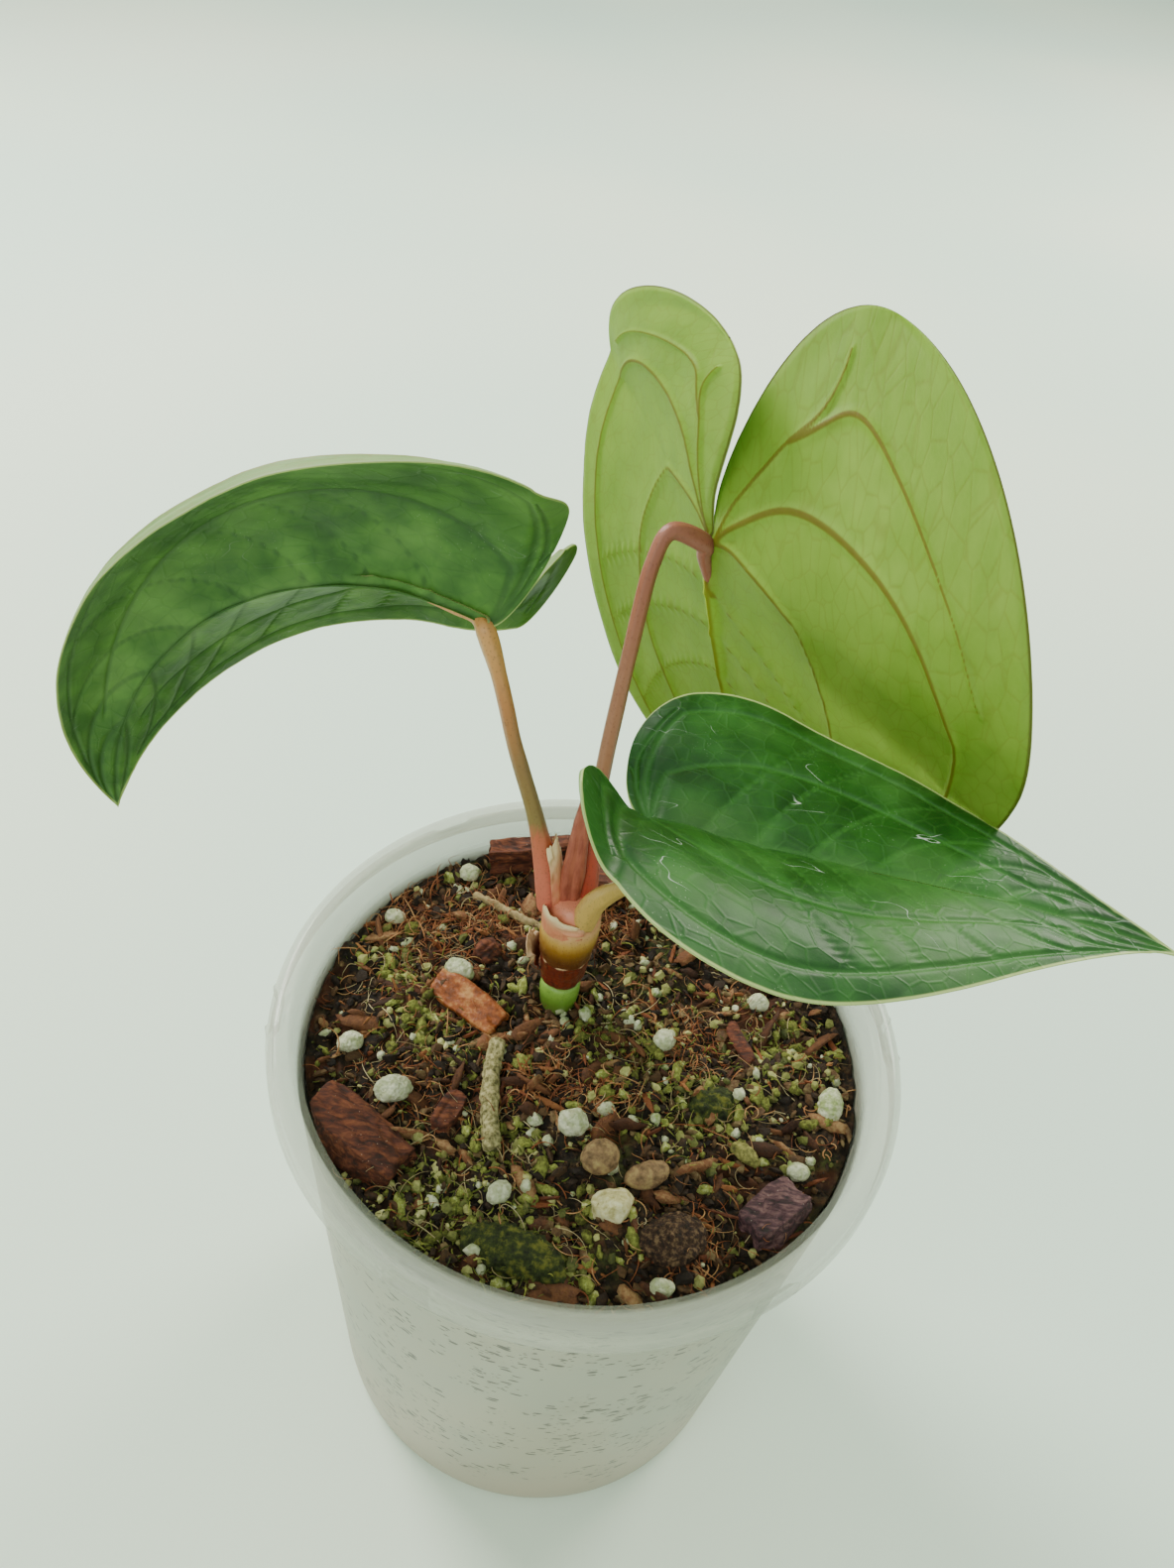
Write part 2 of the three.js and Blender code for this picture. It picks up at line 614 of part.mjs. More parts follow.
// path: places above the crown; hold: from the leaf's base to the petiole's end on its underside.
const petioles = {
  petiole_left: {
    leaf: 'leaf_left',
    sheath: { swell: 0.4, length: 0.3 },
    path: [[-10.6, 10.6, 0], [-12.4, 10.7, 7], [-15.2, 10.6, 19], [-19.6, 10.2, 34], [-23, 9.8, 48]],
    hold: [0.6, -0.6, -2.6],
  },
  petiole_back: {
    leaf: 'leaf_back',
    sheath: { swell: 0.3, length: 0.25 },
    path: [
      [-4.6, 11.8, 0], [-4.9, 12.3, 9], [-5.1, 13, 23], [-4.7, 14, 37], [-4, 16, 49.5], [-3.4, 18.8, 58.5],
      [-2.6, 21.4, 65.5], [-0.6, 23.8, 70],
    ],
    hold: [-2, -1.8, -0.6],
  },
  petiole_front: {
    leaf: 'leaf_front',
    sheath: { swell: 0.35, length: 0.25 },
    path: [[-4.2, 7, 0.7], [-2.7, 5.3, 5.4], [0.4, 0.6, 14.5], [3.4, -10.5, 29.5], [3.3, -20, 44.5]],
    hold: [-0.4, -0.6, -2.4],
  },
};

function petiolePath({ path, leaf, hold }) {
  const end = aboveCrown(leaves[leaf].base).map((value, i) => value + hold[i]);
  return [...path.map(aboveCrown), end];
}

// A slender papery bract that stands between the petioles.
function makeBract() {
  const bottom = crownTop + gap;
  const widest = bractRoom - petioleRadius;
  return turned([
    [0, bottom],
    [widest * 0.78, bottom],
    [widest, bottom + bractLength * 0.31],
    [widest * 0.61, bottom + bractLength * 0.76],
    [0, bottom + bractLength],
  ], 10).translate(stemX - 1, stemY + 0.2, 0);
}

// ---- Materials and assembly ---------------------------------------------------------------

function finish(color, roughness, opacity = 1) {
  const transparent = opacity < 1;
  return new THREE.MeshStandardMaterial({ color, roughness, metalness: 0, opacity, transparent });
}

const finishes = {
  tub: finish('#dfe4dc', 0.35, 0.55),
  mix: finish('#3a2c1e', 0.95),
  bark: finish('#6b3a28', 0.85),
  bract: finish('#a8553a', 0.55),
  stem: finish('#7fa53a', 0.45),
  petiole: finish('#9a6a42', 0.5),
  leaf: finish('#2f6a2c', 0.35),
  root: finish('#cdb98c', 0.8),
  perlite: finish('#d9d6c4', 0.9),
  clay: finish('#8a6545', 0.85),
  stone: finish('#d8cda6', 0.8),
  moss: finish('#3f4a1e', 0.95),
  dry: finish('#9b8a5c', 0.9),
};

function finishOf(name) {
  const kinds = {
    bark: 'bark', nut: 'bark', coir: 'mix', cream: 'stone', clay: 'clay', olive: 'dry', moss: 'moss',
    perlite: 'perlite', dead: 'dry', dry: 'dry', root: 'root', petiole: 'petiole', leaf: 'leaf',
  };
  return finishes[kinds[name.split('_')[0]]];
}

const plant = new THREE.Group();

function addPiece(name, geometry, material = finishOf(name)) {
  const mesh = new THREE.Mesh(geometry, material);
  mesh.name = name;
  plant.add(mesh);
}

addPiece('tub', makeTub(), finishes.tub);
addPiece('stem', makeStem(), finishes.stem);
addPiece('papery_ring', makeRing(), finishes.bract);
addPiece('crown_sheath', makeCrown(), finishes.stem);
addPiece('pointed_bract', makeBract(), finishes.bract);
for (const [name, petiole] of Object.entries(petioles)) {
  addPiece(name, makePetiole(petiolePath(petiole), petiole.sheath));
}
for (const [name, leaf] of Object.entries(leaves)) addPiece(name, makeLeaf(leaf));

// Every buried or half-buried piece gets its own bed in the mix, gives way to the ones before it
// and stays inside the tub.
const insideTub = solidOf(lathe([
  new THREE.Vector2(0, floorThickness + gap),
  new THREE.Vector2(mixRadius(0), floorThickness + gap),
  new THREE.Vector2(mixRadius(tubHeight), tubHeight),
  new THREE.Vector2(0, tubHeight),
]));
let bed = solidOf(makeStem(gap));
const mixSolid = solidOf(makeMix());

function bury(name, geometry, bedGeometry) {
  addPiece(name, geometryOf(solidOf(geometry).intersect(insideTub).subtract(bed)));
  bed = bed.add(solidOf(bedGeometry));
}

for (const [name, direction, reach] of rootDirections) {
  const points = rootPoints(direction, reach);
  bury(name, tube(points, rootRadius, 9, 7), tube(points, rootRadius + gap, 9, 7));
}
for (const [name, make, [x, y], above, shape] of loosePieces) {
  const z = mixTop(x, y) + shape.half[2] * (2 * above - 1);
  bury(name, make(shape).translate(x, y, z), make(shape, gap).translate(x, y, z));
}
for (const [name, radius, places] of layingPieces) {
  const points = places.map(([x, y]) => [x, y, mixTop(x, y) + radius * 0.6]);
  bury(name, tube(points, radius, 10, 8), tube(points, radius + gap, 10, 8));
}
addPiece('growing_mix', geometryOf(mixSolid.subtract(bed)), finishes.mix);

export default plant;
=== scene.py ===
"""A potted anthurium: glossy heart leaves on slender petioles, rooted in a mossy bark mix in a milky tub.

Sizes are in millimetres up to the moment a mesh is made. The frame's own boxes give the places.
"""
import itertools
import math

import bmesh
import bpy
import numpy as np
from mathutils import Matrix, Vector


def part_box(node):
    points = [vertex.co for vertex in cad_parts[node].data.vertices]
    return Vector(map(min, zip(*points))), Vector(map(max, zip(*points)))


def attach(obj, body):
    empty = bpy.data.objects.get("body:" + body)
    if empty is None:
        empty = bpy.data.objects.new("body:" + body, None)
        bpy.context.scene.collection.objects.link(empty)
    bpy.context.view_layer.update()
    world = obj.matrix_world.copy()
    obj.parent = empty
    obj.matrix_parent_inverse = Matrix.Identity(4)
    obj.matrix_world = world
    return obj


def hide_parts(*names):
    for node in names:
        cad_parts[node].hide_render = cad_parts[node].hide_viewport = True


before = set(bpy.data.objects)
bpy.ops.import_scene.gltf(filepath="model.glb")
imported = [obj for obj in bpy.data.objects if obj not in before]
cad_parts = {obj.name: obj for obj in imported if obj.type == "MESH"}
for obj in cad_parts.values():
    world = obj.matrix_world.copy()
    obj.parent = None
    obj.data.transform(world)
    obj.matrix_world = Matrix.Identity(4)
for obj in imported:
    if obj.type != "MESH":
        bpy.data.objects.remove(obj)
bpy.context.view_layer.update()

MM = 0.001
rng = np.random.default_rng(20)


# ---- Measures taken from the frame -----------------------------------------------------------

def box_mm(node):
    low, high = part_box(node)
    return np.array(low) / MM, np.array(high) / MM


tub_low, tub_high = box_mm("tub")
TUB_HEIGHT = tub_high[2]
RIM_RADIUS = (tub_high[0] - tub_low[0]) / 2
stem_low, stem_high = box_mm("stem")
STEM = (stem_low + stem_high)[:2] / 2
NODE_TOP = stem_high[2]
ring_low, ring_high = box_mm("papery_ring")
crown_low, crown_high = box_mm("crown_sheath")
PETIOLE_START = crown_high[2] + 0.3
PLANTED_RIM_RADIUS = 59.0      # the rim that the stalks are drawn for, as in the frame's own parts


def above_crown(place):
    """A place in the plant whose third number is its rise above the crown."""
    x, y, rise = place
    return np.array([x, y, PETIOLE_START + rise * RIM_RADIUS / PLANTED_RIM_RADIUS])


# ---- Repeatable noise on arrays of points ----------------------------------------------------

def hashed(cells, seed):
    wave = np.sin(cells @ np.array([127.1, 311.7, 74.7]) + seed * 53.3) * 43758.5453
    return wave - np.floor(wave)


def wander(points, size, seed=0.0):
    """Smooth random values from -1 to 1 whose bumps are about size across."""
    scaled = np.asarray(points, float) / size
    cell = np.floor(scaled)
    part = scaled - cell
    part = part * part * (3 - 2 * part)
    total = np.zeros(len(scaled))
    for corner in itertools.product((0, 1), repeat=3):
        weight = np.prod(np.where(corner, part, 1 - part), axis=1)
        total += weight * hashed(cell + corner, seed)
    return 2 * total - 1


def rough(points, size, octaves=3, seed=0.0):
    return sum(wander(points, size / 2 ** k, seed + 7 * k) / 2 ** k for k in range(octaves))


def smoothstep(low, high, value):
    t = np.clip((value - low) / (high - low), 0, 1)
    return t * t * (3 - 2 * t)


# ---- Meshes ----------------------------------------------------------------------------------

def weld(points, faces, values):
    """Joins points that coincide and drops the faces that vanish with them."""
    keys = np.round(points, 4)
    _, first, back = np.unique(keys, axis=0, return_index=True, return_inverse=True)
    back = back.reshape(-1)
    kept = []
    sources = []
    for index, face in enumerate(faces):
        ring = list(dict.fromkeys(back[list(face)].tolist()))
        if len(ring) > 2:
            kept.append(ring)
            sources.append(index)
    return points[first], kept, {name: value[first] for name, value in values.items()}, sources


def add_piece(name, points, faces, materials, replaced=(), values=None, face_materials=None,
              smooth=True):
    """Makes a mesh object that rides on the root body and stands for the CAD nodes it replaces."""
    mesh = bpy.data.meshes.new(name)
    mesh.from_pydata((np.asarray(points, float) * MM).tolist(), [], [list(map(int, face)) for face in faces])
    mesh.polygons.foreach_set("use_smooth", [smooth] * len(mesh.polygons))
    for material in materials if isinstance(materials, (list, tuple)) else [materials]:
        mesh.materials.append(material)
    if face_materials is not None:
        mesh.polygons.foreach_set("material_index", np.asarray(face_materials, np.int32))
    for key, value in (values or {}).items():
        if value.ndim == 2:
            mesh.attributes.new(key, "FLOAT_VECTOR", "POINT").data.foreach_set("vector", value.ravel())
        else:
            mesh.attributes.new(key, "FLOAT", "POINT").data.foreach_set("value", value)
    mesh.update()
    piece = bpy.data.objects.new(name, mesh)
    bpy.context.scene.collection.objects.link(piece)
    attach(piece, "root")
    if replaced:
        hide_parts(*replaced)
    return piece


def grid_faces(rows, columns, start=0, closed=False):
    """Quads over a grid of points; closed joins the last column to the first."""
    faces = []
    for i in range(rows - 1):
        for j in range(columns if closed else columns - 1):
            a = start + i * columns + j
            b = start + i * columns + (j + 1) % columns
            faces.append((a, b, b + columns, a + columns))
    return faces


def spline(points, count):
    """Points spaced evenly along a smooth curve through the given ones."""
    p = np.asarray(points, float)
    p = np.vstack([2 * p[0] - p[1], p, 2 * p[-1] - p[-2]])
    fine = []
    for i in range(1, len(p) - 2):
        a, b, c, d = p[i - 1:i + 3]
        for t in np.linspace(0, 1, 24, endpoint=False):
            fine.append(0.5 * (2 * b + (c - a) * t + (2 * a - 5 * b + 4 * c - d) * t * t
                               + (3 * b - a - 3 * c + d) * t ** 3))
    fine.append(p[-2])
    fine = np.array(fine)
    length = np.concatenate([[0], np.cumsum(np.linalg.norm(np.diff(fine, axis=0), axis=1))])
    at = np.linspace(0, length[-1], count)
    return np.stack([np.interp(at, length, fine[:, k]) for k in range(p.shape[1])], 1)


def sweep(path, radii, sides):
    """A closed tube along a path. radii is one radius per path point, or a (point, side) table."""
    path = np.asarray(path, float)
    radii = np.asarray(radii, float)
    if radii.ndim == 1:
        radii = np.repeat(radii[:, None], sides, axis=1)
    tangent = np.gradient(path, axis=0)
    tangent /= np.linalg.norm(tangent, axis=1)[:, None]
    side = np.array([1.0, 0.0, 0.0])
    angles = np.arange(sides) * 2 * math.pi / sides
    rings = []
    for place, along, radius in zip(path, tangent, radii):
        side = side - along * side.dot(along)
        side /= np.linalg.norm(side)
        other = np.cross(along, side)
        around = np.cos(angles)[:, None] * side + np.sin(angles)[:, None] * other
        rings.append(place + radius[:, None] * around)
    points = np.vstack(rings + [path[:1], path[-1:]])
    faces = grid_faces(len(path), sides, closed=True)
    first, last = len(points) - 2, len(points) - 1
    end = (len(path) - 1) * sides
    for j in range(sides):
        faces.append((first, (j + 1) % sides, j))
        faces.append((last, end + j, end + (j + 1) % sides))
    return points, faces


def refined(node, voxel=0.28, rounding=5):
    """Points, normals and faces of a finer, evenly meshed copy of a CAD piece, ready to take relief."""
    copy = bpy.data.objects.new("refining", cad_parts[node].data.copy())
    bpy.context.scene.collection.objects.link(copy)
    remesh = copy.modifiers.new("even", "REMESH")
    remesh.mode = "VOXEL"
    remesh.voxel_size = voxel * MM
    soften = copy.modifiers.new("soften", "SMOOTH")
    soften.factor = 0.5
    soften.iterations = rounding
    mesh = copy.evaluated_get(bpy.context.evaluated_depsgraph_get()).to_mesh()
    points = np.zeros(len(mesh.vertices) * 3)
    normals = np.zeros(len(mesh.vertices) * 3)
    mesh.vertices.foreach_get("co", points)
    mesh.vertex_normals.foreach_get("vector", normals)
    faces = [tuple(p.vertices) for p in mesh.polygons]
    bpy.data.objects.remove(copy)
    return points.reshape(-1, 3) / MM, normals.reshape(-1, 3), faces


# ---- Shader maths ----------------------------------------------------------------------------

class Value:
    """A shader socket that Python arithmetic can use: each operation adds a Math node."""

    def __init__(self, shader, socket):
        self.shader = shader
        self.socket = socket

    def math(self, operation, a, b=0.0):
        return self.shader.node("ShaderNodeMath", {"operation": operation}, {0: a, 1: b})

    def __add__(self, other):
        return self.math("ADD", self, other)

    def __radd__(self, other):
        return self.math("ADD", other, self)

    def __sub__(self, other):
        return self.math("SUBTRACT", self, other)

    def __rsub__(self, other):
        return self.math("SUBTRACT", other, self)

    def __mul__(self, other):
        return self.math("MULTIPLY", self, other)

    def __rmul__(self, other):
        return self.math("MULTIPLY", other, self)

    def between(self, low, high, start=0.0, end=1.0):
        """Runs smoothly from start to end as the value goes from low to high."""
        return self.shader.node("ShaderNodeMapRange", {"interpolation_type": "SMOOTHSTEP"},
                                {0: self, 1: low, 2: high, 3: start, 4: end})


def rgb(code):
    """A linear colour from a hex code."""
    parts = [int(code[i:i + 2], 16) / 255 for i in (0, 2, 4)]
    return tuple(c / 12.92 if c <= 0.04045 else ((c + 0.055) / 1.055) ** 2.4 for c in parts) + (1.0,)


class Shader:
    """One material and the nodes added to it."""

    def __init__(self, name):
        self.material = bpy.data.materials.new(name)
        self.material.use_nodes = True
        self.tree = self.material.node_tree
        self.tree.nodes.clear()

    def node(self, kind, settings=None, sockets=None, out=0):
        """Any node: its settings, then the link or value of each socket. A colour may be a hex code."""
        made = self.tree.nodes.new(kind)
        for key, value in (settings or {}).items():
            if key == "stops":
                self.set_stops(made.color_ramp.elements, value)
            else:
                setattr(made, key, value)
        for key, value in (sockets or {}).items():
            if isinstance(value, Value):
                self.tree.links.new(value.socket, made.inputs[key])
            else:
                made.inputs[key].default_value = rgb(value) if isinstance(value, str) else value
        return Value(self, made.outputs[out]) if made.outputs else None

    @staticmethod
    def set_stops(elements, stops):
        while len(elements) < len(stops):
            elements.new(0.5)
        for element, (position, colour) in zip(elements, stops):
            element.position = position
            element.color = rgb(colour)

    def place(self, stretch=(1.0, 1.0, 1.0)):
        """The surface point in millimetres, stretched along the axes."""
        at = self.node("ShaderNodeTexCoord", out="Object")
        scale = [s / MM for s in stretch]
        return self.node("ShaderNodeVectorMath", {"operation": "MULTIPLY"}, {0: at, 1: scale})

    def height(self):
        return self.node("ShaderNodeSeparateXYZ", {}, {0: self.place()}, out="Z")

    def stored(self, name, out="Fac"):
        return self.node("ShaderNodeAttribute", {"attribute_name": name}, out=out)

    def stretched(self, vector, factors):
        return self.node("ShaderNodeVectorMath", {"operation": "MULTIPLY"}, {0: vector, 1: factors})

    def wandered(self, vector, size, amount):
        """The vector moved about by a soft noise."""
        soft = self.node("ShaderNodeTexNoise", {}, {"Vector": vector, "Scale": 1 / size, "Detail": 2.0},
                         out="Color")
        return self.node("ShaderNodeVectorMath", {"operation": "MULTIPLY_ADD"},
                         {0: soft, 1: (2 * amount,) * 3, 2: vector})

    def noise(self, vector, size, detail=3.0, roughness=0.55, distortion=0.0):
        return self.node("ShaderNodeTexNoise", {}, {
            "Vector": vector, "Scale": 1 / size, "Detail": detail, "Roughness": roughness,
            "Distortion": distortion})

    def cells(self, vector, size, feature="F1"):
        return self.node("ShaderNodeTexVoronoi", {"feature": feature}, {"Vector": vector, "Scale": 1 / size},
                         out="Distance")

    def mix(self, factor, a, b):
        return self.node("ShaderNodeMix", {"data_type": "RGBA"}, {0: factor, 6: a, 7: b}, out=2)

    def ramp(self, value, stops):
        return self.node("ShaderNodeValToRGB", {"stops": stops}, {0: value})

    def bump(self, height, distance, strength=1.0):
        return self.node("ShaderNodeBump", {},
                         {"Height": height, "Distance": distance * MM, "Strength": strength})

    def principled(self, sockets):
        return self.node("ShaderNodeBsdfPrincipled", {}, sockets)

    def finish(self, surface):
        self.node("ShaderNodeOutputMaterial", {}, {"Surface": surface})
        return self.material


# ---- Materials -------------------------------------------------------------------------------

def milky_plastic():
    """Frosted tub plastic: clearer at the rim, with scuffs and thin damp dashes down the wall."""
    s = Shader("tub_milky_plastic")
    height = s.height()
    wavy = s.wandered(s.place(), 5.0, 1.1)
    dashes = s.cells(s.stretched(wavy, (0.42, 0.42, 1.25)), 1.9)
    fine = s.cells(s.stretched(wavy, (0.6, 0.6, 1.5)), 1.2)
    clumps = s.noise(s.place(), 11.0, 3.0, 0.6)
    band = height.between(4, 24) * height.between(TUB_HEIGHT - 6, TUB_HEIGHT - 15)
    crowded = (clumps.between(0.4, 0.62) + height.between(TUB_HEIGHT - 34, TUB_HEIGHT - 18) * 0.35) * band
    specks = dashes.between(0.3, 0.2) * crowded.between(0.05, 0.4)
    specks = specks + fine.between(0.26, 0.16) * crowded.between(0.2, 0.6)
    haze = s.noise(s.place(), 30.0, 2.0, 0.5)
    clear = s.mix(haze.between(0.35, 0.65), "A3A290", "ABA48F")
    clear = s.mix(height.between(45, 0) * 0.5, clear, "B89F8B")
    smudge = s.mix(clumps.between(0.5, 0.72) * band * 0.4, clear, "968F7C")
    colour = s.mix(specks.between(0, 1), smudge, "332A20")
    rim = height.between(TUB_HEIGHT - 13, TUB_HEIGHT - 6)
    ripple = s.noise(s.place((1, 1, 0.25)), 7.0, 2.0, 0.4)
    surface = s.principled({
        "Base Color": s.mix(rim * 0.6, colour, "D6DACB"), "Roughness": 0.3 - rim * 0.14, "IOR": 1.49,
        "Alpha": 0.94 - rim * 0.56 + specks.between(0, 1) * 0.05, "Normal": s.bump(ripple, 0.25, 0.5),
    })
    return s.finish(surface)


def leaf_face(name, deep, light, edge, vein, vein_strength, gloss=0.33, minerals=0.0, painted_sheen=0.0):
    """The upper face of a blade: mottled waxy green, veins, a pale hairline margin, dried water marks and
    pale patches of painted sheen.
    """
    s = Shader(name)
    flat = s.stored("flat", "Vector")
    patches = s.noise(flat, 14.0, 3.0, 0.55)
    cloud = s.noise(flat, 4.5, 3.0, 0.6)
    net = s.cells(s.stretched(flat, (1, 1.3, 1)), 3.4, "DISTANCE_TO_EDGE")
    body = s.mix(patches.between(0.32, 0.68) * 0.6 + cloud.between(0.35, 0.7) * 0.4, deep, light)
    meshwork = net.between(0.0, 0.09, 1.0, 0.0)
    body = s.mix(meshwork * 0.16, body, vein)
    veined = s.mix(s.stored("vein").between(1.7, 0.5) * vein_strength, body, vein)
    grains = s.cells(flat, 0.55)
    glint = grains.between(0.16, 0.05) * s.noise(flat, 9.0, 2.0).between(0.5, 0.66)
    dust_and_sheen = s.mix(glint * 0.5, veined, "B9CFA6")
    # painted sheen: paler green patches stand in for the glossy face reflecting the pale surround
    dust_and_sheen = s.mix(patches.between(0.45, 0.75) * painted_sheen, dust_and_sheen, "86A562")
    drift = s.noise(flat, 8.0, 2.0, 0.5)
    contour = s.noise(s.stretched(flat, (0.6, 1.2, 1)), 15.0, 2.5, 0.55, 0.4)
    hairline = contour.between(0.4985, 0.5005) * contour.between(0.503, 0.501) * drift.between(0.54, 0.6)
    marked = s.mix(hairline * minerals, dust_and_sheen, "C9D6C6")
    colour = s.mix(s.stored("margin").between(0.25, 0.9), marked, edge)
    relief = cloud * 0.6 + meshwork * -0.35 + s.noise(flat, 0.5, 2.0) * 0.18
    dullness = patches.between(0.3, 0.7, gloss + 0.08, gloss + 0.2)
    surface = s.principled({
        "Base Color": colour, "Roughness": dullness + hairline * minerals * 0.3,
        "Specular IOR Level": 0.42, "Normal": s.bump(relief, 0.16, 0.55),
    })
    glow = s.node("ShaderNodeBsdfTranslucent", {}, {"Color": (0.16, 0.34, 0.03, 1.0)})
    return s.finish(s.node("ShaderNodeMixShader", {}, {0: 0.12, 1: surface, 2: glow}))


def leaf_underside(name, deep, light, vein, vein_strength, glow_colour, glow_share, edge):
    """The matt lower face: paler, with raised reddish veins, a fine net and light coming through."""
    s = Shader(name)
    flat = s.stored("flat", "Vector")
    patches = s.noise(flat, 20.0, 3.0, 0.55)
    cloud = s.noise(flat, 5.0, 4.0, 0.65)
    net = s.cells(s.stretched(flat, (1, 1.35, 1)), 3.0, "DISTANCE_TO_EDGE")
    fine = s.cells(flat, 0.8, "DISTANCE_TO_EDGE")
    body = s.mix(patches.between(0.3, 0.7) * 0.6 + cloud.between(0.35, 0.7) * 0.4, deep, light)
    body = s.mix(net.between(0.0, 0.07, 1.0, 0.0) * 0.22, body, vein)
    body = s.mix(fine.between(0.0, 0.12, 0.18, 0.0), body, light)
    veined = s.mix(s.stored("vein").between(1.05, 0.5) * vein_strength, body, vein)
    colour = s.mix(s.stored("margin").between(0.3, 0.9), veined, edge)
    relief = fine * 0.35 + cloud * 0.4 + net.between(0.0, 0.1, 1.0, 0.0) * 0.25
    surface = s.principled({
        "Base Color": colour, "Roughness": cloud.between(0.3, 0.7, 0.5, 0.62),
        "Specular IOR Level": 0.35, "Normal": s.bump(relief, 0.14, 0.5),
    })
    glow = s.node("ShaderNodeBsdfTranslucent", {}, {"Color": glow_colour})
    return s.finish(s.node("ShaderNodeMixShader", {}, {0: glow_share, 1: surface, 2: glow}))


def stalk_skin(name, stops, speck, low, high):
    """A waxy petiole skin that changes colour along its height, streaked and finely speckled."""
    s = Shader(name)
    place = s.place()
    streak = s.noise(s.place((2.2, 2.2, 0.22)), 1.4, 3.0, 0.6)
    along = s.height().between(low, high) + streak * 0.14 - 0.07
    base = s.ramp(along, stops)
    specks = s.cells(s.place((1, 1, 0.6)), 0.55).between(0.3, 0.12)
    scars = s.noise(place, 0.9, 2.0).between(0.58, 0.68)
    colour = s.mix(specks * 0.4 + scars * 0.2, base, speck)
    surface = s.principled({
        "Base Color": colour, "Roughness": streak.between(0.3, 0.7, 0.34, 0.5),
        "Normal": s.bump(streak * 0.7 + specks * 0.3, 0.1, 0.6),
    })
    return s.finish(surface)


def tinted(name, stops, roughness=0.85, grain=1.2, relief=0.3, shift=0.25):
    """A dry, rough stuff whose colour runs through stops by each bit's own tint and a noise's shift."""
    s = Shader(name)
    place = s.place()
    cloud = s.noise(place, grain, 4.0, 0.62)
    value = cloud.between(0.25, 0.75)
    if shift < 1:
        value = value * shift + s.stored("tint") * (1 - shift)
    colour = s.ramp(value, stops)
    surface = s.principled({
        "Base Color": colour, "Roughness": cloud.between(0.3, 0.7, roughness - 0.12, roughness),
        "Specular IOR Level": 0.3, "Normal": s.bump(s.noise(place, grain * 0.35, 3.0), relief, 0.8),
    })
    return s.finish(surface)


def perlite_foam():
    """Expanded glassy foam: off-white, pitted, with green algae in its hollows."""
    s = Shader("perlite_foam")
    place = s.place()
    pits = s.cells(place, 0.62)
    algae = s.noise(place, 2.6, 3.0, 0.6)
    cream = s.mix(s.noise(place, 1.1, 2.0).between(0.35, 0.65), "CFCFB2", "ABAD88")
    mossy = algae.between(0.44, 0.66) * 0.8 * s.stored("tint").between(0.05, 0.8, 0.3, 1.2)
    stained = s.mix(mossy, cream, "7E9148")
    colour = s.mix(pits.between(0.2, 0.08) * 0.55, stained, "6E6A4A")
    surface = s.principled({
        "Base Color": colour, "Roughness": pits.between(0.1, 0.5, 0.95, 0.8),
        "Normal": s.bump(pits + s.noise(place, 0.3, 2.0) * 0.3, 0.25, 0.9),
    })
    return s.finish(surface)


def bark_skin(name, dark, mid, light, speck):
    """Split bark: layered fibre bands, flaky patches and pale dust specks."""
    s = Shader(name)
    place = s.place()
    bands = s.noise(s.place((0.5, 1.4, 1.4)), 1.6, 4.0, 0.65, 0.5)
    flakes = s.noise(place, 4.0, 3.0, 0.6)
    colour = s.ramp(bands.between(0.28, 0.72), [(0.0, dark), (0.5, mid), (1.0, light)])
    colour = s.mix(flakes.between(0.55, 0.75) * 0.5, colour, dark)
    dust = s.cells(place, 0.9).between(0.12, 0.05) * flakes.between(0.4, 0.6)
    colour = s.mix(dust * 0.8, colour, speck)
    surface = s.principled({
        "Base Color": colour, "Roughness": bands.between(0.3, 0.7, 0.7, 0.88),
        "Specular IOR Level": 0.35, "Normal": s.bump(bands + flakes * 0.4, 0.35, 0.9),
    })
    return s.finish(surface)


def mix_earth():
    """The bed of the mix: near-black peat with rusty coir dust and a green algae film."""
    s = Shader("mix_earth")
    place = s.place()
    crumbs = s.noise(place, 1.5, 5.0, 0.7)
    rust = s.noise(place, 13.0, 3.0, 0.6, 0.6)
    green = s.noise(s.stretched(place, (1, 1, 1.1)), 16.0, 3.0, 0.6, 0.4)
    peat = [(0.0, "080605"), (0.5, "20170F"), (1.0, "4B3826")]
    base = s.ramp(crumbs.between(0.25, 0.75), peat)
    rusty = s.mix(rust.between(0.52, 0.68) * 0.6, base, "5E3320")
    colour = s.mix(green.between(0.54, 0.68) * crumbs.between(0.3, 0.6) * 0.7, rusty, "49522A")
    surface = s.principled({
        "Base Color": colour, "Roughness": crumbs.between(0.3, 0.7, 0.8, 0.95),
        "Specular IOR Level": 0.25, "Normal": s.bump(crumbs, 0.5, 0.9),
    })
    return s.finish(surface)


def papery(name, base, deep, edge, gloss):
    """A thin dry scale: ribbed, with a paler torn edge."""
    s = Shader(name)
    ribs = s.noise(s.place((1.6, 1.6, 0.2)), 1.0, 3.0, 0.6)
    blotch = s.noise(s.place(), 3.0, 3.0, 0.6)
    colour = s.mix(ribs.between(0.35, 0.7) * 0.6 + blotch.between(0.4, 0.7) * 0.4, base, deep)
    colour = s.mix(s.stored("edge"), colour, edge)
    surface = s.principled({
        "Base Color": colour, "Roughness": blotch.between(0.3, 0.7, gloss, gloss + 0.15),
        "Normal": s.bump(ribs, 0.15, 0.7),
    })
    return s.finish(surface)


def floor_paper():
    s = Shader("pale_floor")
    grain = s.noise(s.place(), 1.4, 3.0, 0.6)
    sweep_tone = s.noise(s.place(), 420.0, 1.0, 0.4)
    colour = s.mix(sweep_tone.between(0.3, 0.7), "DAEFDF", "EAF5E2")
    surface = s.principled({
        "Base Color": s.mix(grain * 0.08, colour, "C9D6CC"), "Roughness": 0.9, "Specular IOR Level": 0.2,
        "Normal": s.bump(grain, 0.1, 0.25),
    })
    return s.finish(surface)


# ---- Blades ----------------------------------------------------------------------------------

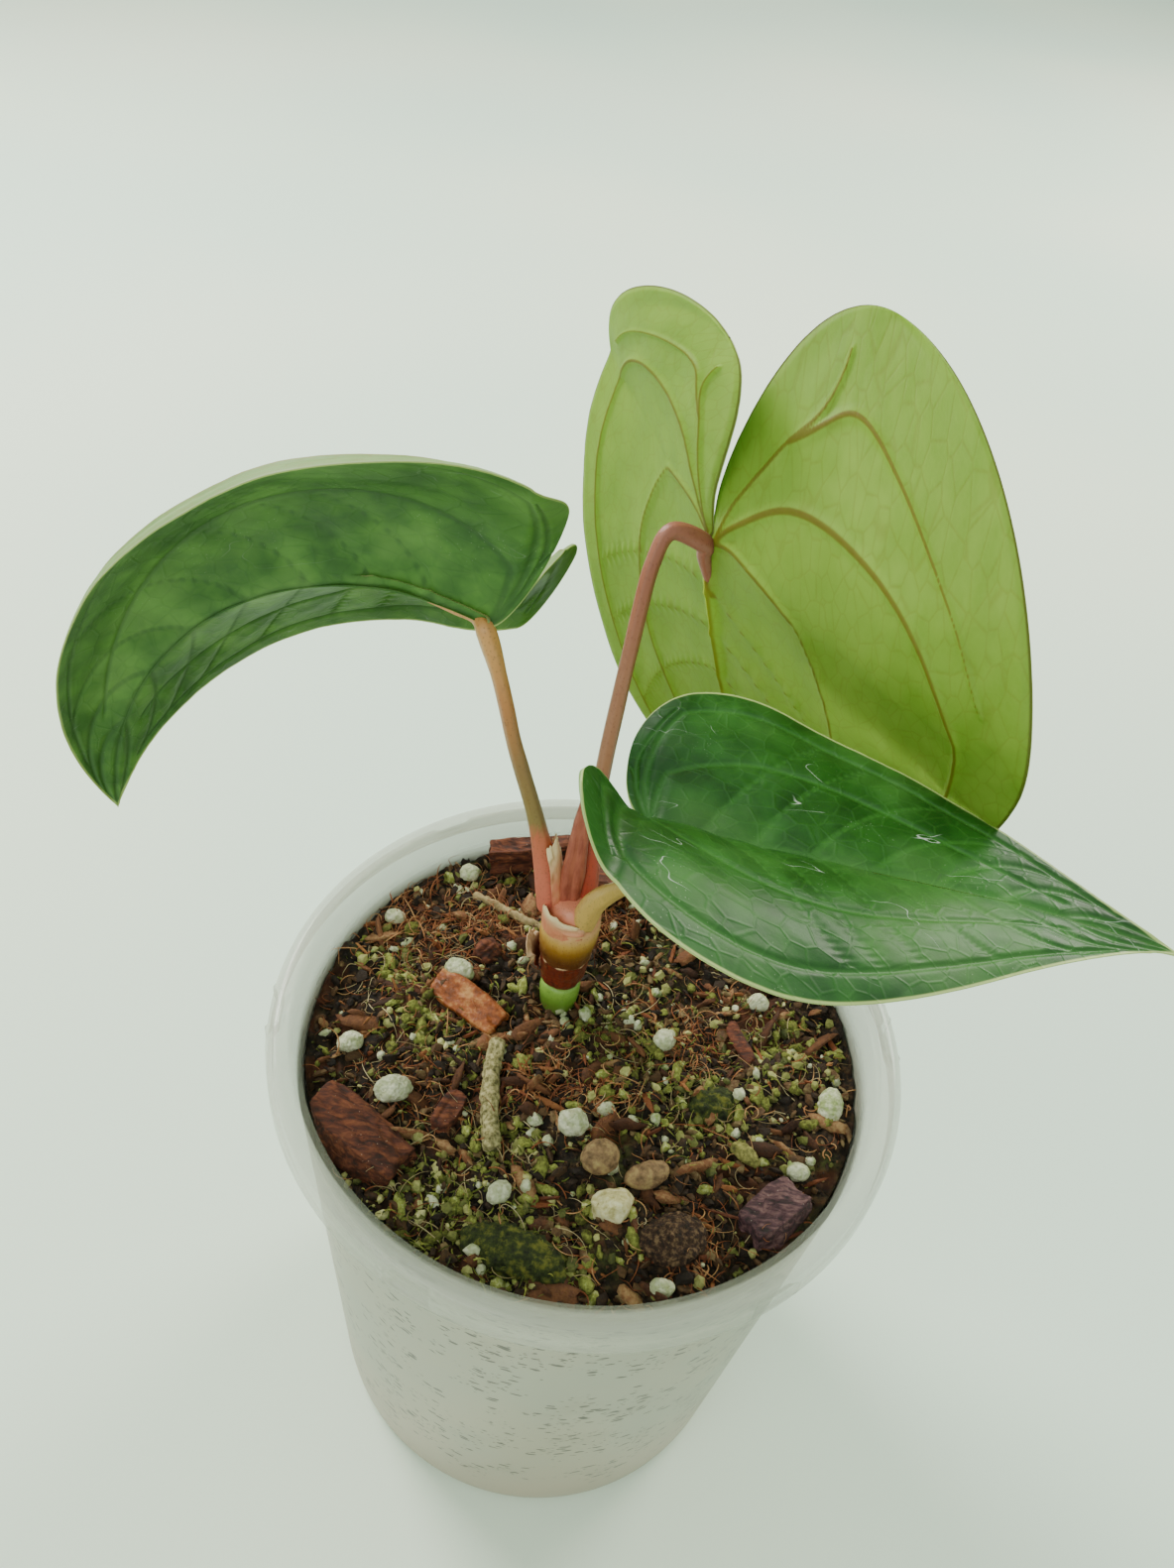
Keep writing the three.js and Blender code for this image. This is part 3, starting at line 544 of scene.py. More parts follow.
# The three blades, as in the frame's own parts. base is where the petiole joins, and its third number is
# the rise above the crown. The rest are lengths in millimetres and angles in degrees along the midrib.
# Pairs are (left, right) or (start, change).
LEAVES = {
    "leaf_left": dict(
        base=(-25.7, 10, 57.4), length=93, lobe=5, widths=(36, 35), lobe_centres=(0.7, 0.5), taper=1.1,
        heading=(166, 23, 37), pitch=(13, -100, -3), roll=(79, 11), folds=((-111, 108), (-10, 2)),
        curls=((138, -204), (100, 177)), lobe_lift=(-1, -1.5), lobe_spread=(-12, 4.5)),
    "leaf_back": dict(
        base=(5.9, 26.6, 68), length=103, lobe=29, widths=(52, 62), lobe_centres=(0.48, 0.48), taper=1.12,
        heading=(46, -6, 0), pitch=(-72, 15, -1), roll=(-8, 9), folds=((15, -56), (-2, 0)),
        curls=((0, 0), (10, -1)), lobe_lift=(2, 28), lobe_spread=(-19, -24)),
    "leaf_front": dict(
        base=(1.8, -24.5, 56.1), length=68, lobe=6, widths=(30, 34), lobe_centres=(0.5, 0.5), taper=1.25,
        heading=(-8, 21, -31), pitch=(2, -6, 5), roll=(23, -7), folds=((27, -11), (35, -45)),
        curls=((-9, -29), (-83, -31)), lobe_lift=(-1, 9), lobe_spread=(1, 10)),
}
LEAF_THICKNESS = 0.55
EDGE_WAVE = 0.5
MIDRIB_STEPS = 160

# Ribs of one half: (along, out) places, along as a share of the blade's length, or of the lobe's behind the
# petiole, and out as a share of the half's width there; then the rib's half width in millimetres.
RIBS = [
    ([(0, .01), (-.08, .1), (-.06, .24), (.02, .38), (.1, .46), (.2, .52), (.34, .53), (.5, .48), (.64, .4),
      (.78, .3)], .5),
    ([(0, .01), (-.2, .1), (-.4, .26), (-.46, .42), (-.42, .6), (-.3, .72), (-.08, .81), (.1, .86),
      (.24, .87), (.4, .85), (.56, .82), (.72, .8), (.88, .78)], .5),
    ([(0, .01), (-.3, .1), (-.56, .24), (-.72, .38), (-.88, .5)], .42),
    ([(-.6, .27), (-.76, .5), (-.68, .66), (-.46, .8), (-.22, .88)], .32),
]
MIDRIB_HALF_WIDTH = 0.85
LATERAL_STARTS = (0.1, 0.2, 0.31, 0.43, 0.55, 0.67, 0.79)


def outer_edge(leaf, side, v):
    """How far out the margin lies, for places v along the midrib."""
    width = leaf["widths"][side > 0]
    centre = width * leaf["lobe_centres"][side > 0]

    def shape(t, swell):
        return centre * t ** 1.6 + swell * t ** leaf["taper"] * np.sqrt(np.maximum(1 - t, 0))

    swell = width
    for _ in range(12):
        swell *= 1 + (width - shape(np.linspace(0, 1, 61), swell).max()) / width
    return shape(np.clip((leaf["length"] - v) / (leaf["length"] + leaf["lobe"]), 0, 1), swell)


def inner_edge(leaf, side, v):
    """Where the lobe's inner edge lies behind the petiole; ahead of it the half starts at the midrib."""
    back = np.clip(-v / leaf["lobe"], 0, 1)
    return leaf["widths"][side > 0] * leaf["lobe_centres"][side > 0] * (1 - np.sqrt(1 - back ** 2))


def midrib_frames(leaf):
    """Places and directions along the midrib, as functions of v."""
    def directions(s):
        heading, pitch, roll = (np.radians(sum(c * s ** k for k, c in enumerate(leaf[key])))
                                for key in ("heading", "pitch", "roll"))
        level = np.stack([np.cos(heading), np.sin(heading), 0 * heading], 1)
        up = np.array([0, 0, 1.0])
        along = level * np.cos(pitch)[:, None] + up * np.sin(pitch)[:, None]
        above = up * np.cos(pitch)[:, None] - level * np.sin(pitch)[:, None]
        across = np.cross(along, above) * np.cos(roll)[:, None] + above * np.sin(roll)[:, None]
        return along, across, np.cross(across, along)

    s = np.linspace(0, 1, MIDRIB_STEPS + 1)
    along, across, normal = directions(s)
    middle = directions((s[1:] + s[:-1]) / 2)[0]
    places = np.vstack([[0, 0, 0], np.cumsum(middle * leaf["length"] / MIDRIB_STEPS, axis=0)])
    places += above_crown(leaf["base"])

    def at(v):
        share = np.clip(v / leaf["length"], 0, 1)
        place, out, up = (np.stack([np.interp(share, s, table[:, k]) for k in range(3)], 1)
                          for table in (places, across, normal))
        return place + along[0] * np.minimum(v, 0)[:, None], out, up

    return at


def blade_points(leaf, frames, side, v, x):
    """Places on the blade, v along the midrib and x out from it."""
    place, across, normal = frames(v)
    index = int(side > 0)
    s = np.maximum(v / leaf["length"], 0)
    into_lobe = np.clip(-v / leaf["lobe"], 0, 1) ** 2
    angle = np.radians(leaf["folds"][index][0] + leaf["folds"][index][1] * s)
    bend = np.radians(leaf["curls"][index][0] + leaf["curls"][index][1] * s) / 50
    bend = np.where(np.abs(bend) < 1e-5, 1e-5, bend)
    out = (np.sin(angle + bend * x) - np.sin(angle)) / bend + leaf["lobe_spread"][index] * into_lobe
    rise = (np.cos(angle) - np.cos(angle + bend * x)) / bend + leaf["lobe_lift"][index] * into_lobe
    return place + across * (side * out)[:, None] + normal * rise[:, None]


def rib_lines(leaf, side):
    """The half's ribs as curves of (v, x) in millimetres, each with its half width from start to end."""
    lines = []
    for places, width in RIBS:
        f, g = spline(places, 60).T
        v = np.where(f < 0, f * leaf["lobe"], f * leaf["length"])
        lines.append((np.stack([v, g * outer_edge(leaf, side, v)], 1), width * np.linspace(1, 0.45, len(v))))
    for index, start in enumerate(LATERAL_STARTS):
        f = start + (0.24 + 0.04 * math.sin(5 * index + side)) * np.linspace(0, 1, 40) ** 1.25
        g = 0.84 * np.linspace(0, 1, 40)
        v = np.minimum(f, 0.985) * leaf["length"]
        lines.append((np.stack([v, g * outer_edge(leaf, side, v)], 1), np.linspace(0.42, 0.2, 40)))
    return lines


def nearest(points, line):
    """Distance from each point to a line of straight stretches, and the index of the nearest stretch."""
    best = np.full(len(points), np.inf)
    index = np.zeros(len(points), int)
    for k, (start, end) in enumerate(zip(line[:-1], line[1:])):
        step = end - start
        share = np.clip((points - start) @ step / max(step @ step, 1e-9), 0, 1)
        distance = ((points - start - share[:, None] * step) ** 2).sum(1)
        closer = distance < best
        best[closer] = distance[closer]
        index[closer] = k
    return np.sqrt(best), index


def make_blade(name, upper, under, rows=230, columns=140, quilt=0.5, seed=1):
    """One blade as a thin closed shell with sunken ribs above, raised ribs below and a wavy margin."""
    leaf = LEAVES[name]
    frames = midrib_frames(leaf)
    tops, bottoms, faces, kinds = [], [], [], []
    stored = {"flat": [], "vein": [], "margin": []}
    t = np.linspace(-1, 1, rows)
    v_rows = np.where(t < 0, leaf["lobe"], leaf["length"]) * np.sin(t * math.pi / 2)
    share = np.linspace(0, 1, columns)
    share = 0.75 * share + 0.25 * np.sin(share * math.pi / 2)
    for side in (-1, 1):
        inner = np.where(v_rows < 0, inner_edge(leaf, side, np.minimum(v_rows, 0)), 0)
        outer = outer_edge(leaf, side, v_rows)
        v = np.repeat(v_rows, columns)
        x = (inner[:, None] + (outer - inner)[:, None] * share).ravel()
        flat = np.stack([v, x * side, np.full(len(v), seed * 40.0)], 1)
        middle = blade_points(leaf, frames, side, v, x)
        step = 0.4
        ahead = blade_points(leaf, frames, side, v + step, x) - blade_points(leaf, frames, side, v - step, x)
        beside = blade_points(leaf, frames, side, v, x + step) - blade_points(leaf, frames, side, v, x - step)
        normal = np.cross(beside, ahead) * side
        normal /= np.linalg.norm(normal, axis=1)[:, None]
        to_margin = np.minimum(np.repeat(outer, columns) - x, leaf["length"] - v)
        to_margin = np.minimum(to_margin, np.where(v < 0, x - np.repeat(inner, columns), 99))
        # How far each point is from its nearest rib, in that rib's half widths.
        from_rib = np.full(len(v), 6.0)
        rib_distance = x + np.where(v < 0, 99, 0)
        for line, width in rib_lines(leaf, side):
            distance, index = nearest(np.stack([v, x], 1), line)
            from_rib = np.minimum(from_rib, distance / width[index])
            rib_distance = np.minimum(rib_distance, distance)
        taper = np.clip(1 - v / leaf["length"], 0, 1) ** 0.6
        from_midrib = x / (MIDRIB_HALF_WIDTH * (0.35 + 0.9 * taper)) + np.clip(-v, 0, 6)
        ribs = np.exp(-(from_rib / 1.5) ** 2)
        midrib = np.exp(-from_midrib ** 2)
        veins = np.maximum(ribs, midrib)
        pillow = smoothstep(0, 7, rib_distance) * smoothstep(0, 6, to_margin)
        edge_wave = smoothstep(14, 1, to_margin) * wander(flat * [1, 0, 1], 11, seed) * EDGE_WAVE
        height = quilt * pillow * (0.7 + 0.5 * wander(flat, 8, seed + 3)) - 0.28 * veins + edge_wave
        height += 0.25 * rough(flat, 16, 2, seed + 5) + 0.05 * rough(flat, 2.2, 2, seed + 9)
        thickness = LEAF_THICKNESS * smoothstep(-0.4, 1.6, to_margin) + 0.12
        thickness += 0.3 * ribs * smoothstep(0, 4, to_margin) + 1.0 * midrib * (0.15 + taper)
        tops.append(middle + normal * height[:, None])
        bottoms.append(middle + normal * (height - thickness)[:, None])
        stored["flat"].append(flat)
        stored["vein"].append(np.minimum(from_rib, 1.3 * from_midrib))
        stored["margin"].append(smoothstep(0.75, 0.1, to_margin))
    count = rows * columns
    for half, side in enumerate((-1, 1)):
        for under_side in (0, 1):
            start = count * (half + 2 * under_side)
            quads = grid_faces(rows, columns, start)
            faces += [q[::-1] for q in quads] if (side > 0) != bool(under_side) else quads
            kinds += [under_side] * len(quads)
        for column, needed in ((columns - 1, v_rows < 1e9), (0, v_rows < 1e-6)):
            for i in range(rows - 1):
                if needed[i] and needed[i + 1]:
                    a = count * half + i * columns + column
                    b = a + columns
                    faces.append((a, b, b + 2 * count, a + 2 * count))
                    kinds.append(0)
    points = np.vstack(tops + bottoms)
    values = {key: np.concatenate(parts + parts) for key, parts in stored.items()}
    points, faces, values, sources = weld(points, faces, values)
    return add_piece(name + "_blade", points, faces, [upper, under], [name], values,
                     [kinds[i] for i in sources])


# ---- Petioles --------------------------------------------------------------------------------

PETIOLES = {
    "petiole_left": dict(
        leaf="leaf_left", swell=0.85, sheath=0.36, hold=(0.3, -0.3, -1.3),
        path=[(-10.6, 10.6, 0), (-12.4, 10.7, 7), (-15.2, 10.6, 19), (-19.6, 10.2, 34), (-23, 9.8, 48)]),
    "petiole_back": dict(
        leaf="leaf_back", swell=0.75, sheath=0.3, hold=(-1.0, -0.9, -0.3),
        path=[(-4.6, 11.8, 0), (-4.9, 12.3, 9), (-5.1, 13, 23), (-4.7, 14, 37), (-4, 16, 49.5),
              (-3.4, 18.8, 58.5), (-2.6, 21.4, 65.5), (-0.6, 23.8, 70)]),
    "petiole_front": dict(
        leaf="leaf_front", swell=0.75, sheath=0.3, hold=(-0.2, -0.3, -1.4),
        path=[(-4.2, 7, 0.7), (-2.7, 5.3, 5.4), (0.4, 0.6, 14.5), (3.4, -10.5, 29.5), (3.3, -20, 44.5)]),
}
PETIOLE_RADIUS = 1.35


def make_petiole(name, skin):
    """A slender stalk: a swollen sheath at the foot, a waist, and a thicker knee under the blade."""
    shape = PETIOLES[name]
    leaf = LEAVES[shape["leaf"]]
    course = [above_crown(place) for place in shape["path"]] + [above_crown(leaf["base"]) + shape["hold"]]
    course[0] = course[0] - [0, 0, 3]
    into_midrib = np.array([2.0, 5.5, 10.0])
    place, _, up = midrib_frames(leaf)(into_midrib)
    course += list(place - up * np.array([1.55, 1.35, 1.1])[:, None])
    steps, sides = 150, 28
    path = spline(course, steps)
    along = np.linspace(0, 1, steps)[:, None]
    turn = np.arange(sides) * 2 * math.pi / sides
    radii = PETIOLE_RADIUS * (1 + shape["swell"] * smoothstep(shape["sheath"], 0, along))
    to_end = np.linalg.norm(np.diff(path, axis=0), axis=1).sum() * (1 - along)
    radii = radii * (1 - 0.08 * smoothstep(0.3, 0.6, along) + 0.24 * smoothstep(20, 12, to_end))
    radii = radii * np.interp(to_end, [0, 4.5, 8, 11], [0.3, 0.62, 0.8, 1])
    ridges = 0.035 * np.sin(7 * turn + 3 * along) + 0.02 * np.sin(13 * turn - 5 * along)
    ring = np.stack([np.cos(turn)[None] * 1.4 + 0 * along, np.sin(turn)[None] * 1.4 + 0 * along,
                     20 * along + 0 * turn[None]], 2).reshape(-1, 3)
    knots = wander(ring, 1.6, len(name)).reshape(steps, sides) * 0.045
    points, faces = sweep(path, radii * (1 + ridges + knots), sides)
    return add_piece(name + "_stalk", points, faces, skin, [name])


# ---- Tub -------------------------------------------------------------------------------------

WALL = 1.1
NECK_RADIUS = RIM_RADIUS - 5
BASE_RADIUS = 46.9
MOUTH_RADIUS = RIM_RADIUS - 4.2
LIP_HEIGHT = 7
RIM_CROWN = 2.6
CATCH = dict(count=6, turn=7, length=7.6, top=1.9, height=3.5, depth=0.9, frame=0.34)
DRAIN = dict(count=6, radius=2.5, circle=30)


def wall_radius(z):
    return BASE_RADIUS + (NECK_RADIUS - BASE_RADIUS) * z / (TUB_HEIGHT - LIP_HEIGHT)


def arc(centre, radius, start, end, steps):
    turn = np.radians(np.linspace(start, end, steps))
    return [(centre[0] + radius * math.cos(a), centre[1] + radius * math.sin(a)) for a in turn]


def stretch(a, b, steps):
    """Places from a towards b, without b."""
    return [(a[0] + (b[0] - a[0]) * k / steps, a[1] + (b[1] - a[1]) * k / steps) for k in range(steps)]


def make_tub(plastic):
    """The thin-walled tub with its rolled rim, lid catches and drain holes."""
    top, lip = TUB_HEIGHT, TUB_HEIGHT - LIP_HEIGHT
    crown_z = top - RIM_CROWN
    skirt = RIM_RADIUS - WALL
    foot = 1.0
    outline = stretch((0, 0), (BASE_RADIUS - 3, 0), 12)
    outline += arc((BASE_RADIUS - 2, 2), 2, -90, 0, 9)
    outline += stretch((wall_radius(4), 4), (wall_radius(lip), lip), 40)
    outline += stretch((wall_radius(lip), lip), (wall_radius(lip) + 0.4, crown_z), 5)
    outline += stretch((wall_radius(lip) + 0.4, crown_z), (skirt, crown_z), 4)
    outline += stretch((skirt, crown_z), (skirt, lip + 0.3), 12)
    outline += arc((skirt + WALL / 2, lip + 0.4), WALL / 2, 180, 360, 7)
    outline += stretch((RIM_RADIUS, lip + 0.6), (RIM_RADIUS, crown_z), 12)
    outline += arc((RIM_RADIUS - RIM_CROWN, crown_z), RIM_CROWN, 0, 90, 14)
    outline += stretch((RIM_RADIUS - RIM_CROWN, top), (MOUTH_RADIUS + 0.9, top - 0.05), 3)
    outline += arc((MOUTH_RADIUS + 0.7, top - 0.9), 0.85, 80, 170, 6)
    outline += stretch((wall_radius(crown_z) - WALL, crown_z), (BASE_RADIUS - WALL + 0.2, 5), 40)
    outline += arc((BASE_RADIUS - WALL - 2.2, foot + 2.6), 2.2, 0, -90, 7)
    outline += stretch((BASE_RADIUS - WALL - 3, foot + 0.4), (0, foot + 0.4), 12)[1:] + [(0, foot + 0.4)]
    outline = np.array(outline)
    sides = 540
    turn = np.arange(sides) * 2 * math.pi / sides
    r = np.repeat(outline[:, :1], sides, axis=1)
    z = np.repeat(outline[:, 1:], sides, axis=1)
    highest = top - CATCH["top"]
    lowest = highest - CATCH["height"]
    inside = smoothstep(lowest - 0.25, lowest + 0.15, z) * smoothstep(highest + 0.3, highest - 0.2, z)
    half = CATCH["length"] / 2
    for i in range(CATCH["count"]):
        centre = math.radians(CATCH["turn"] + 360 * i / CATCH["count"])
        apart = np.abs((turn - centre + math.pi) % (2 * math.pi) - math.pi) * RIM_RADIUS
        beside = smoothstep(half + 0.25, half - 0.25, apart)
        on_frame = (smoothstep(half + 1.1, half + 0.7, apart) - beside) * (r > RIM_RADIUS - 1)
        on_lip = r > NECK_RADIUS + 2.2
        r = r - CATCH["depth"] * beside * inside * on_lip + CATCH["frame"] * on_frame * inside
    wobble = 0.06 * np.sin(2 * turn + 0.7) + 0.04 * np.sin(3 * turn + 2.1)
    r = r + wobble * (r > 20)
    points = np.stack([r * np.cos(turn), r * np.sin(turn), z], 2).reshape(-1, 3)
    points, faces, _, _ = weld(points, grid_faces(len(outline), sides, closed=True), {})
    tub = add_piece("grow_tub", points, faces, plastic, ["tub"])
    cut_drains(tub)
    return tub


def cut_drains(tub):
    """Bores the drain holes through the tub's floor."""
    points, faces = [], []
    for i in range(DRAIN["count"]):
        turn = (i + 0.5) * 2 * math.pi / DRAIN["count"]
        centre = np.array([DRAIN["circle"] * math.cos(turn), DRAIN["circle"] * math.sin(turn), -2])
        plug, plug_faces = sweep(centre + np.array([[0, 0, 0], [0, 0, 6.0]]), [DRAIN["radius"]] * 2, 32)
        faces += [tuple(k + len(points) for k in face) for face in plug_faces]
        points += plug.tolist()
    mesh = bpy.data.meshes.new("drain_plugs")
    mesh.from_pydata((np.array(points) * MM).tolist(), [], faces)
    plugs = bpy.data.objects.new("drain_plugs", mesh)
    bpy.context.scene.collection.objects.link(plugs)
    cut = tub.modifiers.new("drains", "BOOLEAN")
    cut.operation = "DIFFERENCE"
    cut.object = plugs
    result = bpy.data.meshes.new_from_object(tub.evaluated_get(bpy.context.evaluated_depsgraph_get()))
    tub.modifiers.clear()
    tub.data = result
    result.polygons.foreach_set("use_smooth", [True] * len(result.polygons))
    bpy.data.objects.remove(plugs)


# ---- Growing mix -----------------------------------------------------------------------------

MIX_LEVEL = TUB_HEIGHT - 9.5
MIX_RADIUS = wall_radius(MIX_LEVEL) - WALL - 0.45


def mix_top(x, y):
    """Height of the mix at a place: mounded in the middle and lumpy, as the frame's own mix is."""
    from_middle = np.hypot(x, y) / MIX_RADIUS
    lumps = (np.sin(x * 0.31 + 1.3) * np.cos(y * 0.27 - 0.4) + 0.6 * np.sin(x * 0.14 - y * 0.43 + 2.1)
             + 0.4 * np.sin(x * 0.62 + y * 0.55))
    return MIX_LEVEL + 1.6 * (1 - from_middle ** 2) + 0.55 * lumps


def crumbly(x, y):
    """The mix's top with its clods and crumbs."""
    at = np.stack([x, y, 0 * x], 1)
    clods = np.abs(wander(at, 6.5, 3)) * 1.5 - 0.7
    crumbs = np.abs(wander(at, 2.3, 9)) * 0.95 + np.abs(wander(at, 1.05, 17)) * 0.5
    return mix_top(x, y) + clods + crumbs - 0.75


def make_mix(earth):
    rings, sides = 150, 420
    r = MIX_RADIUS * np.linspace(0, 1, rings) ** 0.8
    turn = np.arange(sides) * 2 * math.pi / sides
    x = (r[:, None] * np.cos(turn)).ravel()
    y = (r[:, None] * np.sin(turn)).ravel()
    top = np.stack([x, y, crumbly(x, y)], 1)
    levels = np.linspace(MIX_LEVEL - 3, 6, 60)
    side = []
    for z in list(levels) + [2.4]:
        at = np.stack([np.cos(turn), np.sin(turn), 0 * turn + z / 40], 1) * 40
        radius = wall_radius(z) - WALL - 0.5 - 0.5 * np.abs(wander(at, 3, 31)) - (1.8 if z < 3 else 0)
        side.append(np.stack([radius * np.cos(turn), radius * np.sin(turn), 0 * turn + z], 1))
    under = [np.stack([k * np.cos(turn), k * np.sin(turn), 0 * turn + 2.2], 1) for k in (30, 12, 0)]
    points = np.vstack([top] + side + under)
    points, faces, _, _ = weld(points, grid_faces(rings + len(side) + len(under), sides, closed=True), {})
    return add_piece("mix_bed", points, faces, earth, ["growing_mix"])


# Where each stuff gathers on top of the mix: (x, y, radius).
MOSSY = [(-24, -38, 13), (-6, -43, 12), (-30, -2, 9), (8, 2, 12), (24, -10, 12), (-12, -24, 8), (38, 6, 10),
         (-38, 12, 7)]
FIBROUS = [(-40, 22, 13), (-10, -8, 10), (-22, 28, 12), (20, 2, 9), (0, 32, 12), (4, -12, 8), (22, -38, 8),
           (-30, -14, 7)]


def gathered(x, y, patches):
    """1 inside the patches, fading to 0 outside them."""
    near = [np.exp(-((x - px) ** 2 + (y - py) ** 2) / (0.55 * radius ** 2)) for px, py, radius in patches]
    return np.clip(sum(near), 0, 1)


def scattered(count, margin):
    r = (MIX_RADIUS - margin) * np.sqrt(rng.random(count))
    turn = rng.random(count) * 2 * math.pi
    return r * np.cos(turn), r * np.sin(turn)


def turned_axes(count, upright):
    """Random right-handed axes, one set per bit; upright tilts the first axis out of the surface."""
    first = rng.normal(size=(count, 3)) * [1, 1, upright]
    first /= np.linalg.norm(first, axis=1)[:, None]
    second = np.cross(first, rng.normal(size=(count, 3)))
    second /= np.linalg.norm(second, axis=1)[:, None]
    return np.stack([first, second, np.cross(first, second)], 1)


def ball(detail):
    """Points and faces of a unit icosphere."""
    made = bmesh.new()
    bmesh.ops.create_icosphere(made, subdivisions=detail, radius=1)
    made.verts.ensure_lookup_table()
    points = np.array([tuple(v.co) for v in made.verts])
    faces = np.array([[v.index for v in f.verts] for f in made.faces])
    made.free()
    return points, faces


def make_bits(name, x, y, sizes, material, slot, detail=1, roughness=0.25, upright=0.4, sink=0.25):
    """Many small rough bits lying on the mix, all one piece. sizes is (count, 3), the half sizes."""
    shape, shape_faces = ball(detail)
    count = len(x)
    jitter = 1 + roughness * rng.uniform(-1, 1, (count, len(shape)))
    local = shape[None] * jitter[:, :, None] * sizes[:, None, :]
    points = np.einsum("nvk,nkc->nvc", local, turned_axes(count, upright))
    z = crumbly(x, y) + sizes.min(axis=1) * (1 - 2 * sink)
    points += np.stack([x, y, z], 1)[:, None, :]
    faces = (shape_faces[None] + (np.arange(count) * len(shape))[:, None, None]).reshape(-1, 3)
    tint = rng.random(count)
    keep_inside(points)
    return add_piece(name, points.reshape(-1, 3), faces.tolist(), material,
                     values={"tint": np.repeat(tint, len(shape))}, smooth=detail > 1)


def keep_inside(points):
    """Draws points back inside the tub's wall."""
    r = np.hypot(points[..., 0], points[..., 1])
    limit = wall_radius(points[..., 2]) - WALL - 0.1
    scale = np.minimum(1, limit / np.maximum(r, 1e-6))
    points[..., 0] *= scale
    points[..., 1] *= scale


def make_strands(name, x, y, lengths, radius, material, slot, lift, curl, sides=4, steps=9):
    """Many thin curved strands, such as coir fibres or moss, all one piece."""
    count = len(x)
    heading = rng.random(count) * 2 * math.pi
    pitch = np.abs(rng.normal(size=count)) * lift
    bend = rng.normal(size=count) * curl
    droop = rng.uniform(0.4, 1.6, count) * (0.6 + lift)
    t = np.linspace(0, 1, steps)
    turn = heading[:, None] + bend[:, None] * t
    slope = pitch[:, None] - droop[:, None] * t
    step = lengths[:, None] / (steps - 1)
    level = np.cos(slope) * step
    path = np.stack([x[:, None] + np.cumsum(level * np.cos(turn), 1),
                     y[:, None] + np.cumsum(level * np.sin(turn), 1), np.cumsum(np.sin(slope) * step, 1)], 2)
    floor = crumbly(path[..., 0].ravel(), path[..., 1].ravel()).reshape(count, steps)
    path[..., 2] = np.maximum(floor[:, :1] + path[..., 2], floor + 0.05) + 0.05
    along = np.gradient(path, axis=1)
    along /= np.linalg.norm(along, axis=2)[..., None]
    side = np.cross(along, [0, 0, 1.0])
    side /= np.linalg.norm(side, axis=2)[..., None] + 1e-9
    other = np.cross(along, side)
    angles = np.arange(sides) * 2 * math.pi / sides
    width = radius[:, None] * (1 - 0.75 * t ** 2)
    ring = (np.cos(angles)[:, None] * side[:, :, None, :] + np.sin(angles)[:, None] * other[:, :, None, :])
    points = path[:, :, None, :] + ring * width[:, :, None, None]
    keep_inside(points)
    one = np.array(grid_faces(steps, sides, closed=True))
    per = steps * sides
    faces = (one[None] + (np.arange(count) * per)[:, None, None]).reshape(-1, 4).tolist()
    caps = [tuple(k * per + j for j in reversed(range(sides))) for k in range(count)]
    caps += [tuple(k * per + per - sides + j for j in range(sides)) for k in range(count)]
    tint = rng.random(count)
    return add_piece(name, points.reshape(-1, 3), faces + caps, material,
                     values={"tint": np.repeat(tint, per)})


def chosen(count, weight, margin):
    """Places where weight(x, y), from 0 to 1, lets them stay."""
    x, y = scattered(count, margin)
    keep = rng.random(count) < weight(x, y)
    return x[keep], y[keep]


def spread(count, low, high, flatness, power):
    """Half sizes from low to high, mostly small ones, as (count, 3)."""
    size = low + (high - low) * rng.random(count) ** power
    return size[:, None] * np.array(flatness) * rng.uniform(0.75, 1.25, (count, 3))


def among(patches, least, sharpness=1.0):
    """A weight for chosen: least away from the patches, 1 inside them."""
    return lambda x, y: least + (1 - least) * gathered(x, y, patches) ** sharpness


# Name, how many are tried, where (None is everywhere), room left at the wall, sizes for spread, stuff,
# slot, and how they are made and lie.
LITTER_BITS = [
    ("bark_crumbs", 3600, None, 1.0, (0.3, 1.5, (1.2, 0.8, 0.45), 2.5), "crumbs", "growing_mix",
     dict(roughness=0.3, upright=0.5)),
    ("bark_splinters", 1500, among(FIBROUS, 0.1), 1.0, (0.5, 1.6, (2.2, 0.5, 0.3), 1.5), "rust", "bark",
     dict(roughness=0.25, upright=0.5)),
    ("algae_granules", 2600, among(MOSSY, 0.16), 1.0, (0.3, 1.3, (1, 0.85, 0.75), 1.8), "algae", "moss",
     dict(roughness=0.3)),
    ("olive_lumps", 1500, among(MOSSY, 0.12), 2.0, (0.5, 1.7, (1.15, 0.8, 0.6), 1.8), "granule",
     "growing_mix", dict(detail=2, roughness=0.38, sink=0.3)),
    ("bark_bits", 230, None, 2.5, (0.8, 2.6, (1.7, 0.75, 0.35), 1.8), "brown_bits", "bark",
     dict(detail=2, roughness=0.34, upright=0.45, sink=0.2)),
    ("perlite_crumbs", 170, None, 2.5, (0.4, 1.7, (1, 0.8, 0.7), 2.2), "perlite", "perlite",
     dict(detail=2, roughness=0.2)),
]
# The same for strands, with their lengths and radii in place of sizes.
LITTER_STRANDS = [
    ("coir_fibres", 12000, among(FIBROUS, 0.08, 1.5), 1.0, (2, 7), (0.06, 0.15), "fibre", "coir",
     dict(lift=0.6, curl=2.0)),
    ("moss_fronds", 8000, among(MOSSY, 0.03), 1.0, (0.8, 3.2), (0.09, 0.2), "moss", "moss",
     dict(lift=0.9, curl=1.0, steps=5, sides=3)),
    ("pale_rootlets", 1500, among(MOSSY, 0.25), 4.0, (2, 9), (0.05, 0.11), "straw", "dry_litter",
     dict(lift=0.35, curl=2.4, steps=14)),
]


